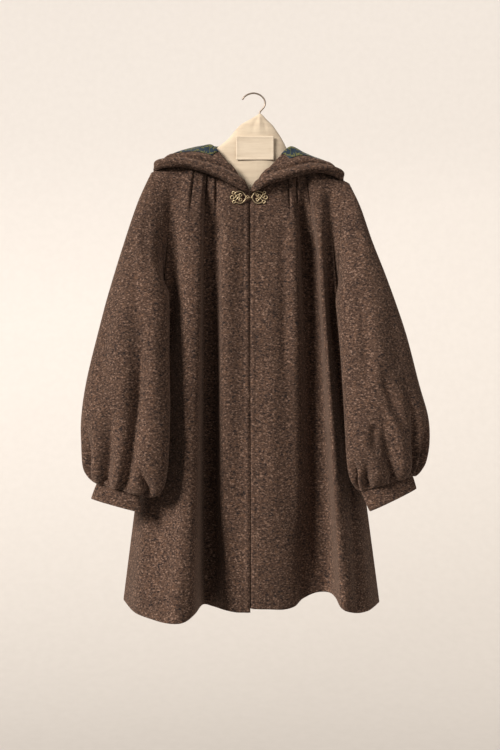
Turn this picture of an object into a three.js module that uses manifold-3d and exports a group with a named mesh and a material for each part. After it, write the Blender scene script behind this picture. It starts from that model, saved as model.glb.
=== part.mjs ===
// A hooded wool swing coat on a cloth-covered hanger.
// Millimetres, +Z up, the coat's front faces -Y. The origin is the inside of the hanger hook's crown.
import * as THREE from "three";
import { mergeVertices } from "three/addons/utils/BufferGeometryUtils.js";
import Module from "manifold-3d";

const wasm = await Module();
wasm.setup();

// Cloth and seams
const wool = 2.6;
const lining = 1;
const seamGap = 0.3;
const facingWidth = 50;
const yokeDepth = 15; // how far the cloth stands off the hanger just below the shoulder seam
const yokeTurn = 13; // how sharply it turns down over the shoulder
const chestHeight = -297;

// Tucks: sewn folds that stand proud at the top and open into the folds below
const tuckHeight = 3;
const tuckSewn = 0.35; // the drop at which the sewing ends, and over how much more the tuck opens out
const tuckOpens = 0.4;

// Hook and clasp wire
const hookWire = 3.5;
const wireSides = 8;
const hookSteps = 26;
const socketDepth = 24;
const claspWire = 2.5;
const claspPlane = -25.9;

const woolColour = 0x4c3b33;
const woolCloth = { color: woolColour, roughness: 0.95, metalness: 0 };
const liningCloth = { color: 0x1d3a48, roughness: 0.8, metalness: 0 };
const coverCloth = { color: 0xe6d8bd, roughness: 0.9, metalness: 0 };
const patchCloth = { color: 0xefe5d2, roughness: 0.85, metalness: 0 };
const agedBrass = { color: 0xb9a77c, roughness: 0.4, metalness: 1 };
const steel = { color: 0xa89f94, roughness: 0.35, metalness: 1 };

// Each side of the coat. "right" and "left" are the wearer's, so right is at -X.
const sides = {
  right: {
    out: -1,
    neck: { x: -97, z: -118 },
    tip: { x: -216, z: -164.5 },
    under: { x: -190, y: -2, z: -385 },
  },
  left: {
    out: 1,
    neck: { x: 82, z: -127 },
    tip: { x: 198, z: -187 },
    under: { x: 174, y: -2, z: -400 },
  },
};
const ownNormal = 0.6; // how much a panel keeps of its own slope along the armhole
const armholeFront = 26;
const armholeBack = 38;

// Front panels, a row for each fold line from the centre front to the side seam.
// top is on the neckline, shoulder is an x on the shoulder seam, swell bends the line's depth below the chest,
// and steps is how many columns of cloth run to the next fold line.
const frontFolds = {
  right: [
    { at: "centre front", top: [-10.6, -22, -214], chest: [-10, -24], hem: [-10, -62, -1078], steps: 1 },
    { at: "placket", top: [-22, -22, -199], chest: [-22, -25], hem: [-22, -62, -1078] },
    { at: "flat", top: [-42, -21, -173], chest: [-45, -27], hem: [-40, -58, -1078] },
    { at: "trough start", top: [-62, -19, -154], chest: [-66, -26], hem: [-63, -42, -1076], steps: 3 },
    { at: "trough", top: [-80, -16, -137], chest: [-85, -9], hem: [-87, -6, -1075], tuck: 1 },
    { at: "trough end", shoulder: -97, chest: [-105, -8], hem: [-108, -2, -1072], steps: 3, tuck: 1 },
    { at: "crest edge", shoulder: -110, chest: [-114, -30], hem: [-128, -72, -1072], steps: 3 },
    { at: "crest", shoulder: -124, chest: [-138, -36], hem: [-141, -142, -1083], swell: 1.2, tuck: 1 },
    { at: "crest far", shoulder: -144, chest: [-153, -27], hem: [-168, -148, -1084], swell: 1.6 },
    { at: "lobe", shoulder: -168, chest: [-168, -12], hem: [-206, -124, -1080], swell: 2.3 },
    { at: "lobe side", shoulder: -192, chest: [-180, -11], hem: [-246, -76, -1074], swell: 2.3 },
    { at: "side", hem: [-276, 5, -1063], steps: 1 },
  ],
  left: [
    { at: "centre front", top: [-9.4, -22, -214], chest: [-9, -24], hem: [-9, -62, -1070], steps: 1 },
    { at: "placket", top: [2, -22, -199], chest: [2, -25], hem: [3, -62, -1071] },
    { at: "flat", top: [22, -21, -175], chest: [28, -27], hem: [28, -58, -1072] },
    { at: "turn", top: [44, -19, -158], chest: [56, -27], hem: [60, -49, -1074] },
    { at: "trough start", top: [66, -16, -143], chest: [78, -25], hem: [84, -34, -1070], tuck: 1 },
    { at: "trough side", shoulder: 82, chest: [93, -14], hem: [101, -12, -1058], tuck: 1 },
    { at: "trough", shoulder: 95, chest: [107, -3], hem: [129, -1, -1047] },
    { at: "trough end", shoulder: 108, chest: [120, -8], hem: [154, -4, -1046], steps: 3, tuck: 1 },
    { at: "crest edge", shoulder: 120, chest: [128, -32], hem: [166, -52, -1049] },
    { at: "crest", shoulder: 138, chest: [141, -34], hem: [175, -108, -1061], swell: 1.4 },
    { at: "valley", shoulder: 158, chest: [155, -16], hem: [198, -102, -1070], swell: 2 },
    { at: "lobe side", shoulder: 178, chest: [162, -15], hem: [232, -70, -1073], swell: 2.2 },
    { at: "side", hem: [263, 5, -1068], steps: 1 },
  ],
};

// The back panel, a row for each fold line from the wearer's right side to the left.
const backFolds = [
  { at: "right side", hem: [-276, 5, -1063] },
  { at: "right hollow", shoulder: -158, chest: [-158, 22.6], hem: [-226, 36.6, -1053] },
  { at: "right ridge", shoulder: -122, chest: [-112, 29.6], hem: [-164, 58.6, -1047] },
  { at: "right valley", shoulder: -97, chest: [-72, 25.6], hem: [-106, 38.6, -1046] },
  { at: "right of centre", top: [-48, 18, -127], chest: [-36, 30], hem: [-50, 60.6, -1045] },
  { at: "centre back", top: [-7, 20.5, -131], chest: [-7, 27], hem: [-8, 40.6, -1045] },
  { at: "left of centre", top: [34, 18, -131], chest: [22, 30], hem: [34, 60.6, -1045] },
  { at: "left valley", shoulder: 82, chest: [58, 25.6], hem: [90, 38.6, -1046] },
  { at: "left ridge", shoulder: 106, chest: [98, 29.6], hem: [148, 58.6, -1048] },
  { at: "left hollow", shoulder: 142, chest: [143, 22.6], hem: [212, 36.6, -1055] },
  { at: "left side", hem: [263, 5, -1068], steps: 1 },
];

// Sleeve sections from the armhole down. outer and inner are the two ends of a section,
// front and back how far it stands out between them.
const sleeveSections = {
  right: [
    { outer: [-243, -4, -224], inner: [-192, -23, -397], front: 36, back: 36 },
    { outer: [-268, -8, -301], inner: [-178, -45, -421], front: 42, back: 36 },
    { outer: [-297, -14, -402], inner: [-176, -64, -474], front: 46, back: 38 },
    { outer: [-322, -24, -499], inner: [-175, -86, -552], front: 48, back: 38 },
    { outer: [-346, -36, -605], inner: [-172, -102, -640], front: 50, back: 38 },
    { outer: [-355, -46, -680], inner: [-172, -114, -706], front: 52, back: 38 },
    { outer: [-354, -54, -735], inner: [-174, -120, -762], front: 52, back: 38 },
    { outer: [-351, -60, -778], inner: [-179, -122, -802], front: 48, back: 34 },
    { outer: [-342, -66, -798], inner: [-190, -120, -828], front: 38, back: 28 },
    { outer: [-329, -70, -810], inner: [-212, -112, -837], front: 24, back: 20 },
    { outer: [-322, -74, -811], inner: [-235, -100, -828], front: 15, back: 15 },
  ],
  left: [
    { outer: [222, -4, -238], inner: [176.5, -23, -411], front: 36, back: 36 },
    { outer: [246, -8, -312], inner: [168, -45, -436], front: 42, back: 36 },
    { outer: [275, -14, -392], inner: [172, -62, -486], front: 46, back: 38 },
    { outer: [310, -24, -499], inner: [177, -82, -556], front: 48, back: 38 },
    { outer: [338, -34, -610], inner: [181, -96, -640], front: 50, back: 38 },
    { outer: [356, -42, -676], inner: [183, -106, -700], front: 52, back: 38 },
    { outer: [359, -50, -726], inner: [185, -110, -748], front: 52, back: 38 },
    { outer: [353, -56, -765], inner: [188, -110, -782], front: 48, back: 34 },
    { outer: [343, -62, -785], inner: [194, -108, -804], front: 38, back: 28 },
    { outer: [331, -66, -797], inner: [206, -100, -822], front: 24, back: 20 },
    { outer: [323, -70, -796], inner: [216, -96, -826], front: 15, back: 15 },
  ],
};
const sleeveColumns = 36;
const pleatHeld = 0.6; // how much of a pleat's depth the cuff takes up

// Pleats let into each cuff, by the angle round the sleeve from its outer end, the front first.
// low is the angle at the cuff, high where the fold fades out, from the section where it starts.
const sleevePleats = {
  right: [
    { low: 12, high: 44, from: 5.6, depth: 17 },
    { low: 62, high: 84, from: 4.6, depth: 19 },
    { low: 98, high: 122, from: 2.5, depth: 20 },
    { low: 158, high: 118, from: 6.4, depth: 15 },
    { low: 205, high: 212, from: 5, depth: 15 },
    { low: 245, high: 242, from: 3.4, depth: 17 },
    { low: 285, high: 276, from: 4.6, depth: 16 },
    { low: 325, high: 318, from: 5.4, depth: 15 },
  ],
  left: [
    { low: 14, high: 38, from: 5.6, depth: 15 },
    { low: 58, high: 46, from: 4.8, depth: 20 },
    { low: 96, high: 100, from: 3, depth: 17 },
    { low: 132, high: 118, from: 5.8, depth: 18 },
    { low: 168, high: 160, from: 6.6, depth: 13 },
    { low: 208, high: 214, from: 5, depth: 15 },
    { low: 250, high: 246, from: 3.4, depth: 17 },
    { low: 292, high: 284, from: 4.6, depth: 16 },
    { low: 330, high: 324, from: 5.4, depth: 15 },
  ],
};

const cuffs = {
  right: { top: sleeveSections.right.at(-1), drop: { outer: [-12, 2, -31.5], inner: [6, -3, -40] } },
  left: { top: sleeveSections.left.at(-1), drop: { outer: [8, 2, -26.5], inner: [17, -3, -40] } },
};
const cuffColumns = 28;

// The hood lies thrown back. Each row is a section from the neck seam over the roll to the face edge,
// from the centre front round to the centre back.
const hoodSections = {
  right: [
    { neck: [-14, -23.5, -211], stand: [-15.3, -25.6, -209.6], middle: [-16.6, -27.6, -209],
      turn: [-17.9, -29.4, -209.4], edge: [-19, -31, -210.5] },
    { neck: [-28, -24.5, -190], stand: [-29, -26, -185], middle: [-32, -31, -187],
      turn: [-36, -34, -193], edge: [-40, -33, -199] },
    { neck: [-60, -21.5, -152], stand: [-62, -22, -143], middle: [-68, -27, -147],
      turn: [-76, -34, -161], edge: [-83, -32, -178] },
    { neck: [-82, -17.5, -132], stand: [-87, -11, -114], middle: [-103, -16, -122],
      turn: [-122, -30, -140], edge: [-138, -29, -160] },
    { neck: [-96, 2, -117], stand: [-97, 6, -109], middle: [-130, -3, -119],
      turn: [-160, -18, -134], edge: [-178, -27, -156] },
    { neck: [-86, 11, -118], stand: [-94, 18, -109], middle: [-140, 17, -122],
      turn: [-182, 2, -138], edge: [-209, -8, -158] },
    { neck: [-66, 16, -122], stand: [-78, 27, -113], middle: [-134, 34, -186],
      turn: [-178, 45, -186], edge: [-206, 36, -156] },
    { neck: [-36, 19, -127], stand: [-44, 33, -118], middle: [-88, 42, -320],
      turn: [-132, 66, -262], edge: [-140, 56, -152] },
    { neck: [-7.2, 21, -129], stand: [-7.2, 35, -120], middle: [-7.2, 46, -392],
      turn: [-7.2, 78, -330], edge: [-7.2, 68, -156] },
  ],
  left: [
    { neck: [-6, -23.5, -211], stand: [-4.8, -25.6, -209.8], middle: [-3.6, -27.6, -209.4],
      turn: [-2.3, -29.4, -209.8], edge: [-1, -31, -211] },
    { neck: [10, -24.5, -189], stand: [11, -26, -184], middle: [15, -31, -185],
      turn: [22, -34, -190], edge: [30, -33, -195] },
    { neck: [40, -22, -158], stand: [42, -23.5, -149], middle: [50, -28, -153],
      turn: [62, -35, -166], edge: [74, -32, -182] },
    { neck: [67, -18, -140], stand: [72, -11, -117], middle: [86, -16, -126],
      turn: [105, -30, -147], edge: [120, -29, -170] },
    { neck: [81, 2, -126], stand: [82, 6, -117], middle: [112, -3, -132],
      turn: [142, -18, -149], edge: [160, -27, -172] },
    { neck: [73, 11, -127], stand: [80, 18, -115], middle: [122, 17, -138],
      turn: [162, 2, -156], edge: [184, -8, -180] },
    { neck: [53, 16, -128], stand: [62, 27, -117], middle: [112, 34, -196],
      turn: [154, 45, -200], edge: [181, 36, -177] },
    { neck: [22, 19, -130], stand: [29, 33, -121], middle: [72, 42, -322],
      turn: [112, 66, -266], edge: [120, 56, -166] },
    { neck: [-6.8, 21, -129], stand: [-6.8, 35, -120], middle: [-6.8, 46, -392],
      turn: [-6.8, 78, -330], edge: [-6.8, 68, -156] },
  ],
};

// The hanger cover's upper edge, from the wearer's right end to the left, and its lower edge.
const coverProfile = [
  { x: -208, top: -168, bottom: -190, depth: 5 },
  { x: -203, top: -163.5, bottom: -204, depth: 6.5 },
  { x: -160, top: -146, bottom: -204, depth: 7 },
  { x: -115, top: -128.5, bottom: -206, depth: 7 },
  { x: -97, top: -123, bottom: -210, depth: 7 },
  { x: -88, top: -124, bottom: -213, depth: 6 },
  { x: -80, top: -115, bottom: -216, depth: 7 },
  { x: -56, top: -95, bottom: -222, depth: 9 },
  { x: -31, top: -66.7, bottom: -226, depth: 10.5 },
  { x: -8, top: -53, bottom: -228, depth: 11.5 },
  { x: 5, top: -45, bottom: -228, depth: 12 },
  { x: 10.9, top: -41, bottom: -228, depth: 12 },
  { x: 17, top: -45, bottom: -228, depth: 12 },
  { x: 28, top: -56.6, bottom: -227, depth: 11.5 },
  { x: 39, top: -67.5, bottom: -226, depth: 10.5 },
  { x: 55.6, top: -92, bottom: -224, depth: 8 },
  { x: 66, top: -112, bottom: -222, depth: 4.6 },
  { x: 74, top: -129.5, bottom: -221, depth: 5 },
  { x: 84, top: -134.5, bottom: -220, depth: 7 },
  { x: 110, top: -145.2, bottom: -220, depth: 7 },
  { x: 150, top: -166, bottom: -222, depth: 7 },
  { x: 185, top: -184.8, bottom: -224, depth: 6.5 },
  { x: 190, top: -190, bottom: -214, depth: 5 },
];
const coverRound = 14;
const patch = { x: 1, z: -115.5, width: 79, height: 50, thick: 0.8 };

// The hook's centre line, from its tip over the crown to the foot of its shank.
const hookLine = [
  [-24.6, -10.4],
  [-20.5, -5],
  [-11.5, 0.2],
  [0, 1.75],
  [12, -2.4],
  [20.6, -11.5],
  [22, -22.5],
  [17, -31],
  [11.4, -37.5],
  [10.9, -43],
  [10.9, -52],
  [10.9, -62],
];

const at3 = ([x, y, z]) => new THREE.Vector3(x, y, z);
const clamp = (value, low, high) => Math.max(low, Math.min(high, value));
const smooth = (t) => t * t * (3 - 2 * t);
const radians = (degrees) => (degrees * Math.PI) / 180;

// A Catmull-Rom spline through points, at a position counted in points.
function splineAt(points, position) {
  const last = points.length - 1;
  const first = clamp(Math.floor(position), 0, last - 1);
  const t = position - first;
  const [a, b, c, d] = [first - 1, first, first + 1, first + 2].map((k) => points[clamp(k, 0, last)]);
  const weights = [
    (-t + 2 * t * t - t * t * t) / 2,
    (2 - 5 * t * t + 3 * t * t * t) / 2,
    (t + 4 * t * t - 3 * t * t * t) / 2,
    (-t * t + t * t * t) / 2,
  ];
  return new THREE.Vector3()
    .addScaledVector(a, weights[0])
    .addScaledVector(b, weights[1])
    .addScaledVector(c, weights[2])
    .addScaledVector(d, weights[3]);
}

// Outward normals of a grid of points, rows running down and columns running along.
function gridNormals(rows, turned, closed) {
  const high = rows.length - 1;
  const wide = rows[0].length - 1;
  return rows.map((row, i) =>
    row.map((_, j) => {
      const before = closed ? row[(j + wide) % (wide + 1)] : row[Math.max(0, j - 1)];
      const after = closed ? row[(j + 1) % (wide + 1)] : row[Math.min(wide, j + 1)];
      const along = new THREE.Vector3().subVectors(after, before);
      const [above, below] = [rows[Math.max(0, i - 1)][j], rows[Math.min(high, i + 1)][j]];
      const down = new THREE.Vector3().subVectors(below, above);
      return down.cross(along).multiplyScalar(turned ? -1 : 1).normalize();
    }),
  );
}

// A closed wall between two grids of points: the outer skin, the inner skin and the rims.
function wallGeometry(outer, inner, closed, turned) {
  const high = outer.length;
  const wide = outer[0].length;
  const positions = [];
  [outer, inner].forEach((skin) => skin.forEach((row) => row.forEach((p) => positions.push(p.x, p.y, p.z))));
  const index = [];
  const id = (skin, i, j) => skin * high * wide + i * wide + (j % wide);
  const face = (a, b, c, d) => {
    const corners = turned ? [a, c, b, a, d, c] : [a, b, c, a, c, d];
    index.push(...corners);
  };
  const spans = closed ? wide : wide - 1;
  for (let i = 0; i < high - 1; i++) {
    for (let j = 0; j < spans; j++) {
      face(id(0, i, j), id(0, i + 1, j), id(0, i + 1, j + 1), id(0, i, j + 1));
      face(id(1, i, j), id(1, i, j + 1), id(1, i + 1, j + 1), id(1, i + 1, j));
    }
  }
  for (let j = 0; j < spans; j++) {
    face(id(0, 0, j), id(0, 0, j + 1), id(1, 0, j + 1), id(1, 0, j));
    face(id(0, high - 1, j), id(1, high - 1, j), id(1, high - 1, j + 1), id(0, high - 1, j + 1));
  }
  if (!closed) {
    for (let i = 0; i < high - 1; i++) {
      face(id(0, i, 0), id(1, i, 0), id(1, i + 1, 0), id(0, i + 1, 0));
      face(id(0, i, wide - 1), id(0, i + 1, wide - 1), id(1, i + 1, wide - 1), id(1, i, wide - 1));
    }
  }
  const geometry = new THREE.BufferGeometry();
  geometry.setAttribute("position", new THREE.Float32BufferAttribute(positions, 3));
  geometry.setIndex(index);
  geometry.computeVertexNormals();
  return geometry;
}

// Cloth of a thickness behind a grid of points, lifted off it by a clearance.
function clothWall(rows, { thickness, lift = 0, turned = false, closed = false, normals }) {
  const facing = normals || gridNormals(rows, turned, closed);
  const moved = (by) => rows.map((row, i) => row.map((p, j) => p.clone().addScaledVector(facing[i][j], by)));
  return wallGeometry(moved(lift), moved(lift - thickness), closed, turned);
}

function cloth(name, geometry, finish) {
  const mesh = new THREE.Mesh(geometry, new THREE.MeshStandardMaterial(finish));
  mesh.name = name;
  return mesh;
}

// The armhole: angle 0 is the shoulder tip, 90 the front, 180 the underarm and 270 the back.
function armholePoint(side, angle) {
  const { tip, under } = side;
  const a = radians(angle);
  const z = (tip.z + under.z) / 2 + ((tip.z - under.z) / 2) * Math.cos(a);
  const rise = (z - under.z) / (tip.z - under.z);
  const x = under.x + (tip.x - under.x) * Math.pow(Math.max(0, rise), 2.5);
  const depth = Math.sin(a) > 0 ? armholeFront : armholeBack;
  const y = under.y * (1 - rise) - depth * Math.sin(a);
  return new THREE.Vector3(x, y, z);
}

// The same edge as the panels have it, straight between their rows, so that the sleeve meets them.
function armholeSeam(side, angle) {
  const turn = angle <= 180 ? 1 : -1;
  const drop = Math.min(angle, 360 - angle) / 180;
  const row = panelDrops.findIndex((next) => next > drop || next === 1) - 1;
  const [from, to] = [panelDrops[row], panelDrops[row + 1]].map((at) => armholePoint(side, turn * 180 * at));
  return from.lerp(to, (drop - panelDrops[row]) / (panelDrops[row + 1] - panelDrops[row]));
}

function armholeNormal(side, angle) {
  const a = radians(angle);
  const out = side.out * (0.36 + 0.64 * (1 - Math.cos(a)) * 0.5);
  return new THREE.Vector3(out, -Math.sin(a), Math.max(0, Math.cos(a)) * 0.9).normalize();
}

function shoulderPoint(side, x) {
  const { neck, tip } = side;
  return new THREE.Vector3(x, 0, neck.z + ((tip.z - neck.z) * (x - neck.x)) / (tip.x - neck.x));
}

function shoulderNormal(side) {
  const { neck, tip } = side;
  const run = Math.abs(tip.x - neck.x);
  const fall = neck.z - tip.z;
  return new THREE.Vector3(side.out * fall, 0, run).normalize();
}

// A point on a fold line: drop runs from 0 at the top edge through 1 at the chest to 2 at the hem.
function foldPoint(fold, side, facing, drop) {
  const hem = at3(fold.hem);
  if (!fold.chest) {
    const angle = facing < 0 ? 180 * drop : 360 - 180 * drop;
    if (drop <= 1) return armholePoint(side, angle);
    return armholePoint(side, 180).lerp(hem, drop - 1);
  }
  const top = fold.top ? at3(fold.top) : shoulderPoint(side, fold.shoulder);
  const chest = new THREE.Vector3(fold.chest[0], fold.chest[1], chestHeight);
  if (drop > 1) {
    const below = drop - 1;
    const swell = Math.pow(below, fold.swell || 1);
    return new THREE.Vector3(
      chest.x + (hem.x - chest.x) * below,
      chest.y + (hem.y - chest.y) * swell,
      chest.z + (hem.z - chest.z) * below,
    );
  }
  const yoke = fold.top ? top.y : facing * yokeDepth;
  const fall = (hem.x - chest.x) * ((chest.z - top.z) / (hem.z - chest.z));
  const x = top.x + (2 * (chest.x - top.x) - fall) * drop + (fall - (chest.x - top.x)) * drop * drop;
  const y = top.y + (yoke - top.y) * (1 - Math.pow(1 - drop, yokeTurn)) + (chest.y - yoke) * smooth(drop);
  return new THREE.Vector3(x, y, top.z + (chest.z - top.z) * Math.pow(drop, 1.2));
}

// How far a tuck's fold line stands out.
const tuckRise = (drop) => tuckHeight * (1 - smooth(clamp((drop - tuckSewn) / tuckOpens, 0, 1)));

const panelDrops = [0, 0.07, 0.18, 0.34, 0.55, 0.78, 1, 1.13, 1.26, 1.39, 1.52, 1.64, 1.76, 1.88, 2];

// Column positions along a panel, counted in fold lines.
const panelColumns = (folds) =>
  folds.flatMap(({ steps = 2 }, k) => Array.from({ length: steps }, (_, step) => k + step / steps));

function bodyPanel(folds, facing, sideOf) {
  const columns = panelColumns(folds);
  const last = folds.length - 1;
  const rows = panelDrops.map((drop) => {
    const line = folds.map((fold, k) => foldPoint(fold, sideOf(k), facing, drop));
    return columns.map((place) => splineAt(line, place));
  });
  const turned = facing > 0 || sideOf(last).out < 0;
  const normals = gridNormals(rows, turned, false);
  columns.forEach((place, j) => {
    if (!folds[place]?.tuck) return;
    rows.forEach((row, i) => row[j].addScaledVector(normals[i][j], tuckRise(panelDrops[i])));
  });
  setEdgeNormals(rows, normals, columns, folds, facing, sideOf);
  return { rows, normals, turned };
}

// Seam edges take one normal for both panels that meet there, and stand half a gap back from the seam.
function setEdgeNormals(rows, normals, columns, folds, facing, sideOf) {
  const last = folds.length - 1;
  const high = rows.length;
  const wide = columns.length - 1;
  columns.forEach((place, j) => {
    const side = sideOf(place);
    const top = rows[0][j];
    const onShoulder = clamp(1 - Math.abs(top.y) / 20, 0, 1);
    const up = shoulderNormal(side);
    const level = new THREE.Vector3(0, facing, 0);
    normals[0][j].copy(level.multiplyScalar(1 - onShoulder).addScaledVector(up, onShoulder)).normalize();
    if (facing * top.y < 0.5) top.y = (facing * seamGap) / 2;
  });
  const edges = facing < 0 ? [[wide, last]] : [[0, 0], [wide, last]];
  edges.forEach(([j, k]) => {
    const side = sideOf(k);
    for (let i = 0; i < high; i++) {
      const drop = panelDrops[i];
      const angle = Math.min(180, 180 * drop);
      const own = drop > 0 && drop < 1 ? ownNormal : 0;
      normals[i][j].multiplyScalar(own).add(armholeNormal(side, facing < 0 ? angle : 360 - angle)).normalize();
      if (drop >= 1) rows[i][j].y += (facing * seamGap) / 2;
    }
  });
}

function front(which) {
  const side = sides[which];
  const panel = bodyPanel(frontFolds[which], -1, () => side);
  return cloth("front_" + which, clothWall(panel.rows, { ...panel, thickness: wool }), woolCloth);
}

function back() {
  const middle = (backFolds.length - 1) / 2;
  const panel = bodyPanel(backFolds, 1, (k) => (k < middle ? sides.right : sides.left));
  return cloth("back", clothWall(panel.rows, { ...panel, thickness: wool }), woolCloth);
}

// A point of a sleeve or cuff section. The angle runs as on the armhole.
function sectionPoint(section, angle) {
  const outer = at3(section.outer);
  const inner = at3(section.inner);
  const centre = outer.clone().add(inner).multiplyScalar(0.5);
  const reach = outer.clone().sub(inner).multiplyScalar(0.5);
  const across = reach.clone().normalize();
  const forward = new THREE.Vector3(0, -1, 0).addScaledVector(across, across.y).normalize();
  const a = radians(angle);
  const depth = Math.sin(a) > 0 ? section.front : section.back;
  return centre.addScaledVector(reach, Math.cos(a)).addScaledVector(forward, depth * Math.sin(a));
}

// How deep the pleats press into the sleeve at an angle and a section count.
function pleatDepth(pleats, angle, place, cuffPlace) {
  let depth = 0;
  for (const pleat of pleats) {
    if (place <= pleat.from) continue;
    const down = (place - pleat.from) / (cuffPlace - pleat.from);
    const middle = pleat.high + (pleat.low - pleat.high) * smooth(down);
    const away = Math.abs(((angle - middle + 540) % 360) - 180);
    const spread = 15 - 4 * down;
    const swell = Math.sin(Math.PI * Math.pow(down, 1.5)) * 0.9 + 0.1 * down;
    const held = 1 - pleatHeld * smooth(clamp((down - 0.75) / 0.25, 0, 1));
    depth += pleat.depth * swell * held * Math.exp(-Math.pow(away / spread, 2));
  }
  return depth;
}

const sleeveRows = [0, 0.35, 0.8, 1.4, 2, 3, 4, 5, 5.8, 6.5, 7.1, 7.7, 8.3, 8.9, 9.4, 9.9, 10.4, 11];

function sleeve(which) {
  const side = sides[which];
  const sections = sleeveSections[which];
  const angles = Array.from({ length: sleeveColumns }, (_, j) => (360 * j) / sleeveColumns);
  const rows = sleeveRows.map(() => []);
  angles.forEach((angle) => {
    const start = armholeSeam(side, angle);
    start.x += side.out * 2 * seamGap;
    const line = [start, ...sections.map((section) => sectionPoint(section, angle))];
    sleeveRows.forEach((place, i) => rows[i].push(splineAt(line, place)));
  });
  const turned = which === "left";
  const plain = gridNormals(rows, turned, true);
  const pleatAt = (i, j) => pleatDepth(sleevePleats[which], angles[j], sleeveRows[i], sections.length);
  rows.forEach((row, i) => row.forEach((p, j) => p.addScaledVector(plain[i][j], -pleatAt(i, j))));
  const normals = gridNormals(rows, turned, true);
  angles.forEach((angle, j) => {
    const a = radians(angle);
    normals[0][j].set(side.out * 0.3 * Math.max(0, Math.cos(a)), -Math.sin(a), Math.cos(a)).normalize();
  });
  const wall = clothWall(rows, { thickness: wool, closed: true, turned, normals });
  return cloth("sleeve_" + which, wall, woolCloth);
}

function cuff(which) {
  const { top, drop } = cuffs[which];
  const low = {
    outer: top.outer.map((v, k) => v + drop.outer[k]),
    inner: top.inner.map((v, k) => v + drop.inner[k]),
    front: top.front + 1,
    back: top.back + 1,
  };
  const rows = [0.02, 0.5, 1].map((t) =>
    Array.from({ length: cuffColumns }, (_, j) => {
      const angle = (360 * j) / cuffColumns;
      return sectionPoint(top, angle).lerp(sectionPoint(low, angle), t);
    }),
  );
  const turned = which === "left";
  return cloth("cuff_" + which, clothWall(rows, { thickness: wool, closed: true, turned }), woolCloth);
}

const hoodLayers = ["neck", "stand", "middle", "turn", "edge"];
const hoodColumns = 16;
const liningRows = 8;
const facingRows = 4;
const liningStart = 5; // the hood column where the lining first shows beside the facing
const leastLining = 0.12; // the least share of the hood inside the facing
const borderSteps = 24;
const nudge = 0.004; // how far apart the points are that give the hood's slope

// A point of the hood's outer cloth: round runs from the centre front to the centre back,
// out from the neck seam to the face edge.
function hoodPoint(which, round, out) {
  const sections = hoodSections[which];
  const line = hoodLayers.map((layer) =>
    splineAt(
      sections.map((section) => at3(section[layer])),
      round * (sections.length - 1),
    ),
  );
  return splineAt(line, out * (hoodLayers.length - 1));
}

// Where the facing ends, as a share of the way from the neck seam to the face edge.
function facingStart(which, round) {
  let length = 0;
  for (let k = borderSteps; k > 0; k--) {
    const [from, to] = [k / borderSteps, (k - 1) / borderSteps].map((share) => hoodPoint(which, round, share));
    const step = from.distanceTo(to);
    const share = (k - (facingWidth - length) / step) / borderSteps;
    if (length + step > facingWidth) return Math.max(leastLining, share);
    length += step;
  }
  return leastLining;
}

// The hood's own grid, whose rows follow the border between lining and facing.
function hoodGrid(which) {
  const turned = which === "right";
  const rows = [];
  const normals = [];
  const rounds = spaced(0, 1, hoodColumns);
  const borders = rounds.map((round) => facingStart(which, round));
  for (let i = 0; i <= liningRows + facingRows; i++) {
    const outs = borders.map((border) =>
      i <= liningRows ? (border * i) / liningRows : border + ((1 - border) * (i - liningRows)) / facingRows,
    );
    rows.push(rounds.map((round, j) => hoodPoint(which, round, outs[j])));
    normals.push(
      rounds.map((round, j) => {
        const along = hoodPoint(which, Math.min(1, round + nudge), outs[j]);
        along.sub(hoodPoint(which, Math.max(0, round - nudge), outs[j]));
        const down = hoodPoint(which, round, Math.min(1, outs[j] + nudge));
        down.sub(hoodPoint(which, round, Math.max(0, outs[j] - nudge)));
        const normal = down.cross(along).multiplyScalar(turned ? -1 : 1);
        if (round === 1) normal.x = 0;
        return normal.normalize();
      }),
    );
  }
  return { rows, normals, turned };
}

// One layer of the hood, over some of its rows and columns.
function hoodLayer(which, { fromRow, toRow, fromColumn = 0, thickness, lift }) {
  const { rows, normals, turned } = hoodGrid(which);
  const part = (grid) => grid.slice(fromRow, toRow + 1).map((row) => row.slice(fromColumn));
  return clothWall(part(rows), { thickness, lift, turned, normals: part(normals) });
}

const spaced = (first, last, count) =>
  Array.from({ length: count + 1 }, (_, k) => first + ((last - first) * k) / count);

function hood(which) {
  const part = { fromRow: 0, toRow: liningRows + facingRows, thickness: wool, lift: wool };
  return cloth("hood_" + which, hoodLayer(which, part), woolCloth);
}

function hoodFacing(which) {
  const lift = 2 * wool + seamGap;
  const part = { fromRow: liningRows, toRow: liningRows + facingRows, thickness: wool, lift };
  return cloth("hood_facing_" + which, hoodLayer(which, part), woolCloth);
}

function hoodLining(which) {
  const lift = wool + seamGap + lining;
  const part = { fromRow: 1, toRow: liningRows - 1, fromColumn: liningStart, thickness: lining, lift };
  return cloth("hood_lining_" + which, hoodLayer(which, part), liningCloth);
}

function solid(geometry) {
  const bare = geometry.index ? geometry.clone() : geometry;
  bare.deleteAttribute("normal");
  bare.deleteAttribute("uv");
  const merged = mergeVertices(bare, 1e-3);
  return new wasm.Manifold(
    new wasm.Mesh({
      numProp: 3,
      vertProperties: merged.attributes.position.array,
      triVerts: new Uint32Array(merged.index.array),
    }),
  );
}

function geometryOf(made) {
  const { vertProperties, triVerts } = made.getMesh();
  const geometry = new THREE.BufferGeometry();
  geometry.setAttribute("position", new THREE.BufferAttribute(vertProperties, 3));
  geometry.setIndex(new THREE.BufferAttribute(triVerts, 1));
  geometry.computeVertexNormals();
  return geometry;
}

// A round wire along a curve.
function wire(curve, thickness, sidesRound, steps) {
  const ring = Array.from({ length: sidesRound }, (_, k) => {
    const a = (2 * Math.PI * k) / sidesRound;
    return new THREE.Vector2((Math.cos(a) * thickness) / 2, (Math.sin(a) * thickness) / 2);
  });
  return new THREE.ExtrudeGeometry(new THREE.Shape(ring), { steps, extrudePath: curve });
}

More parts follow.
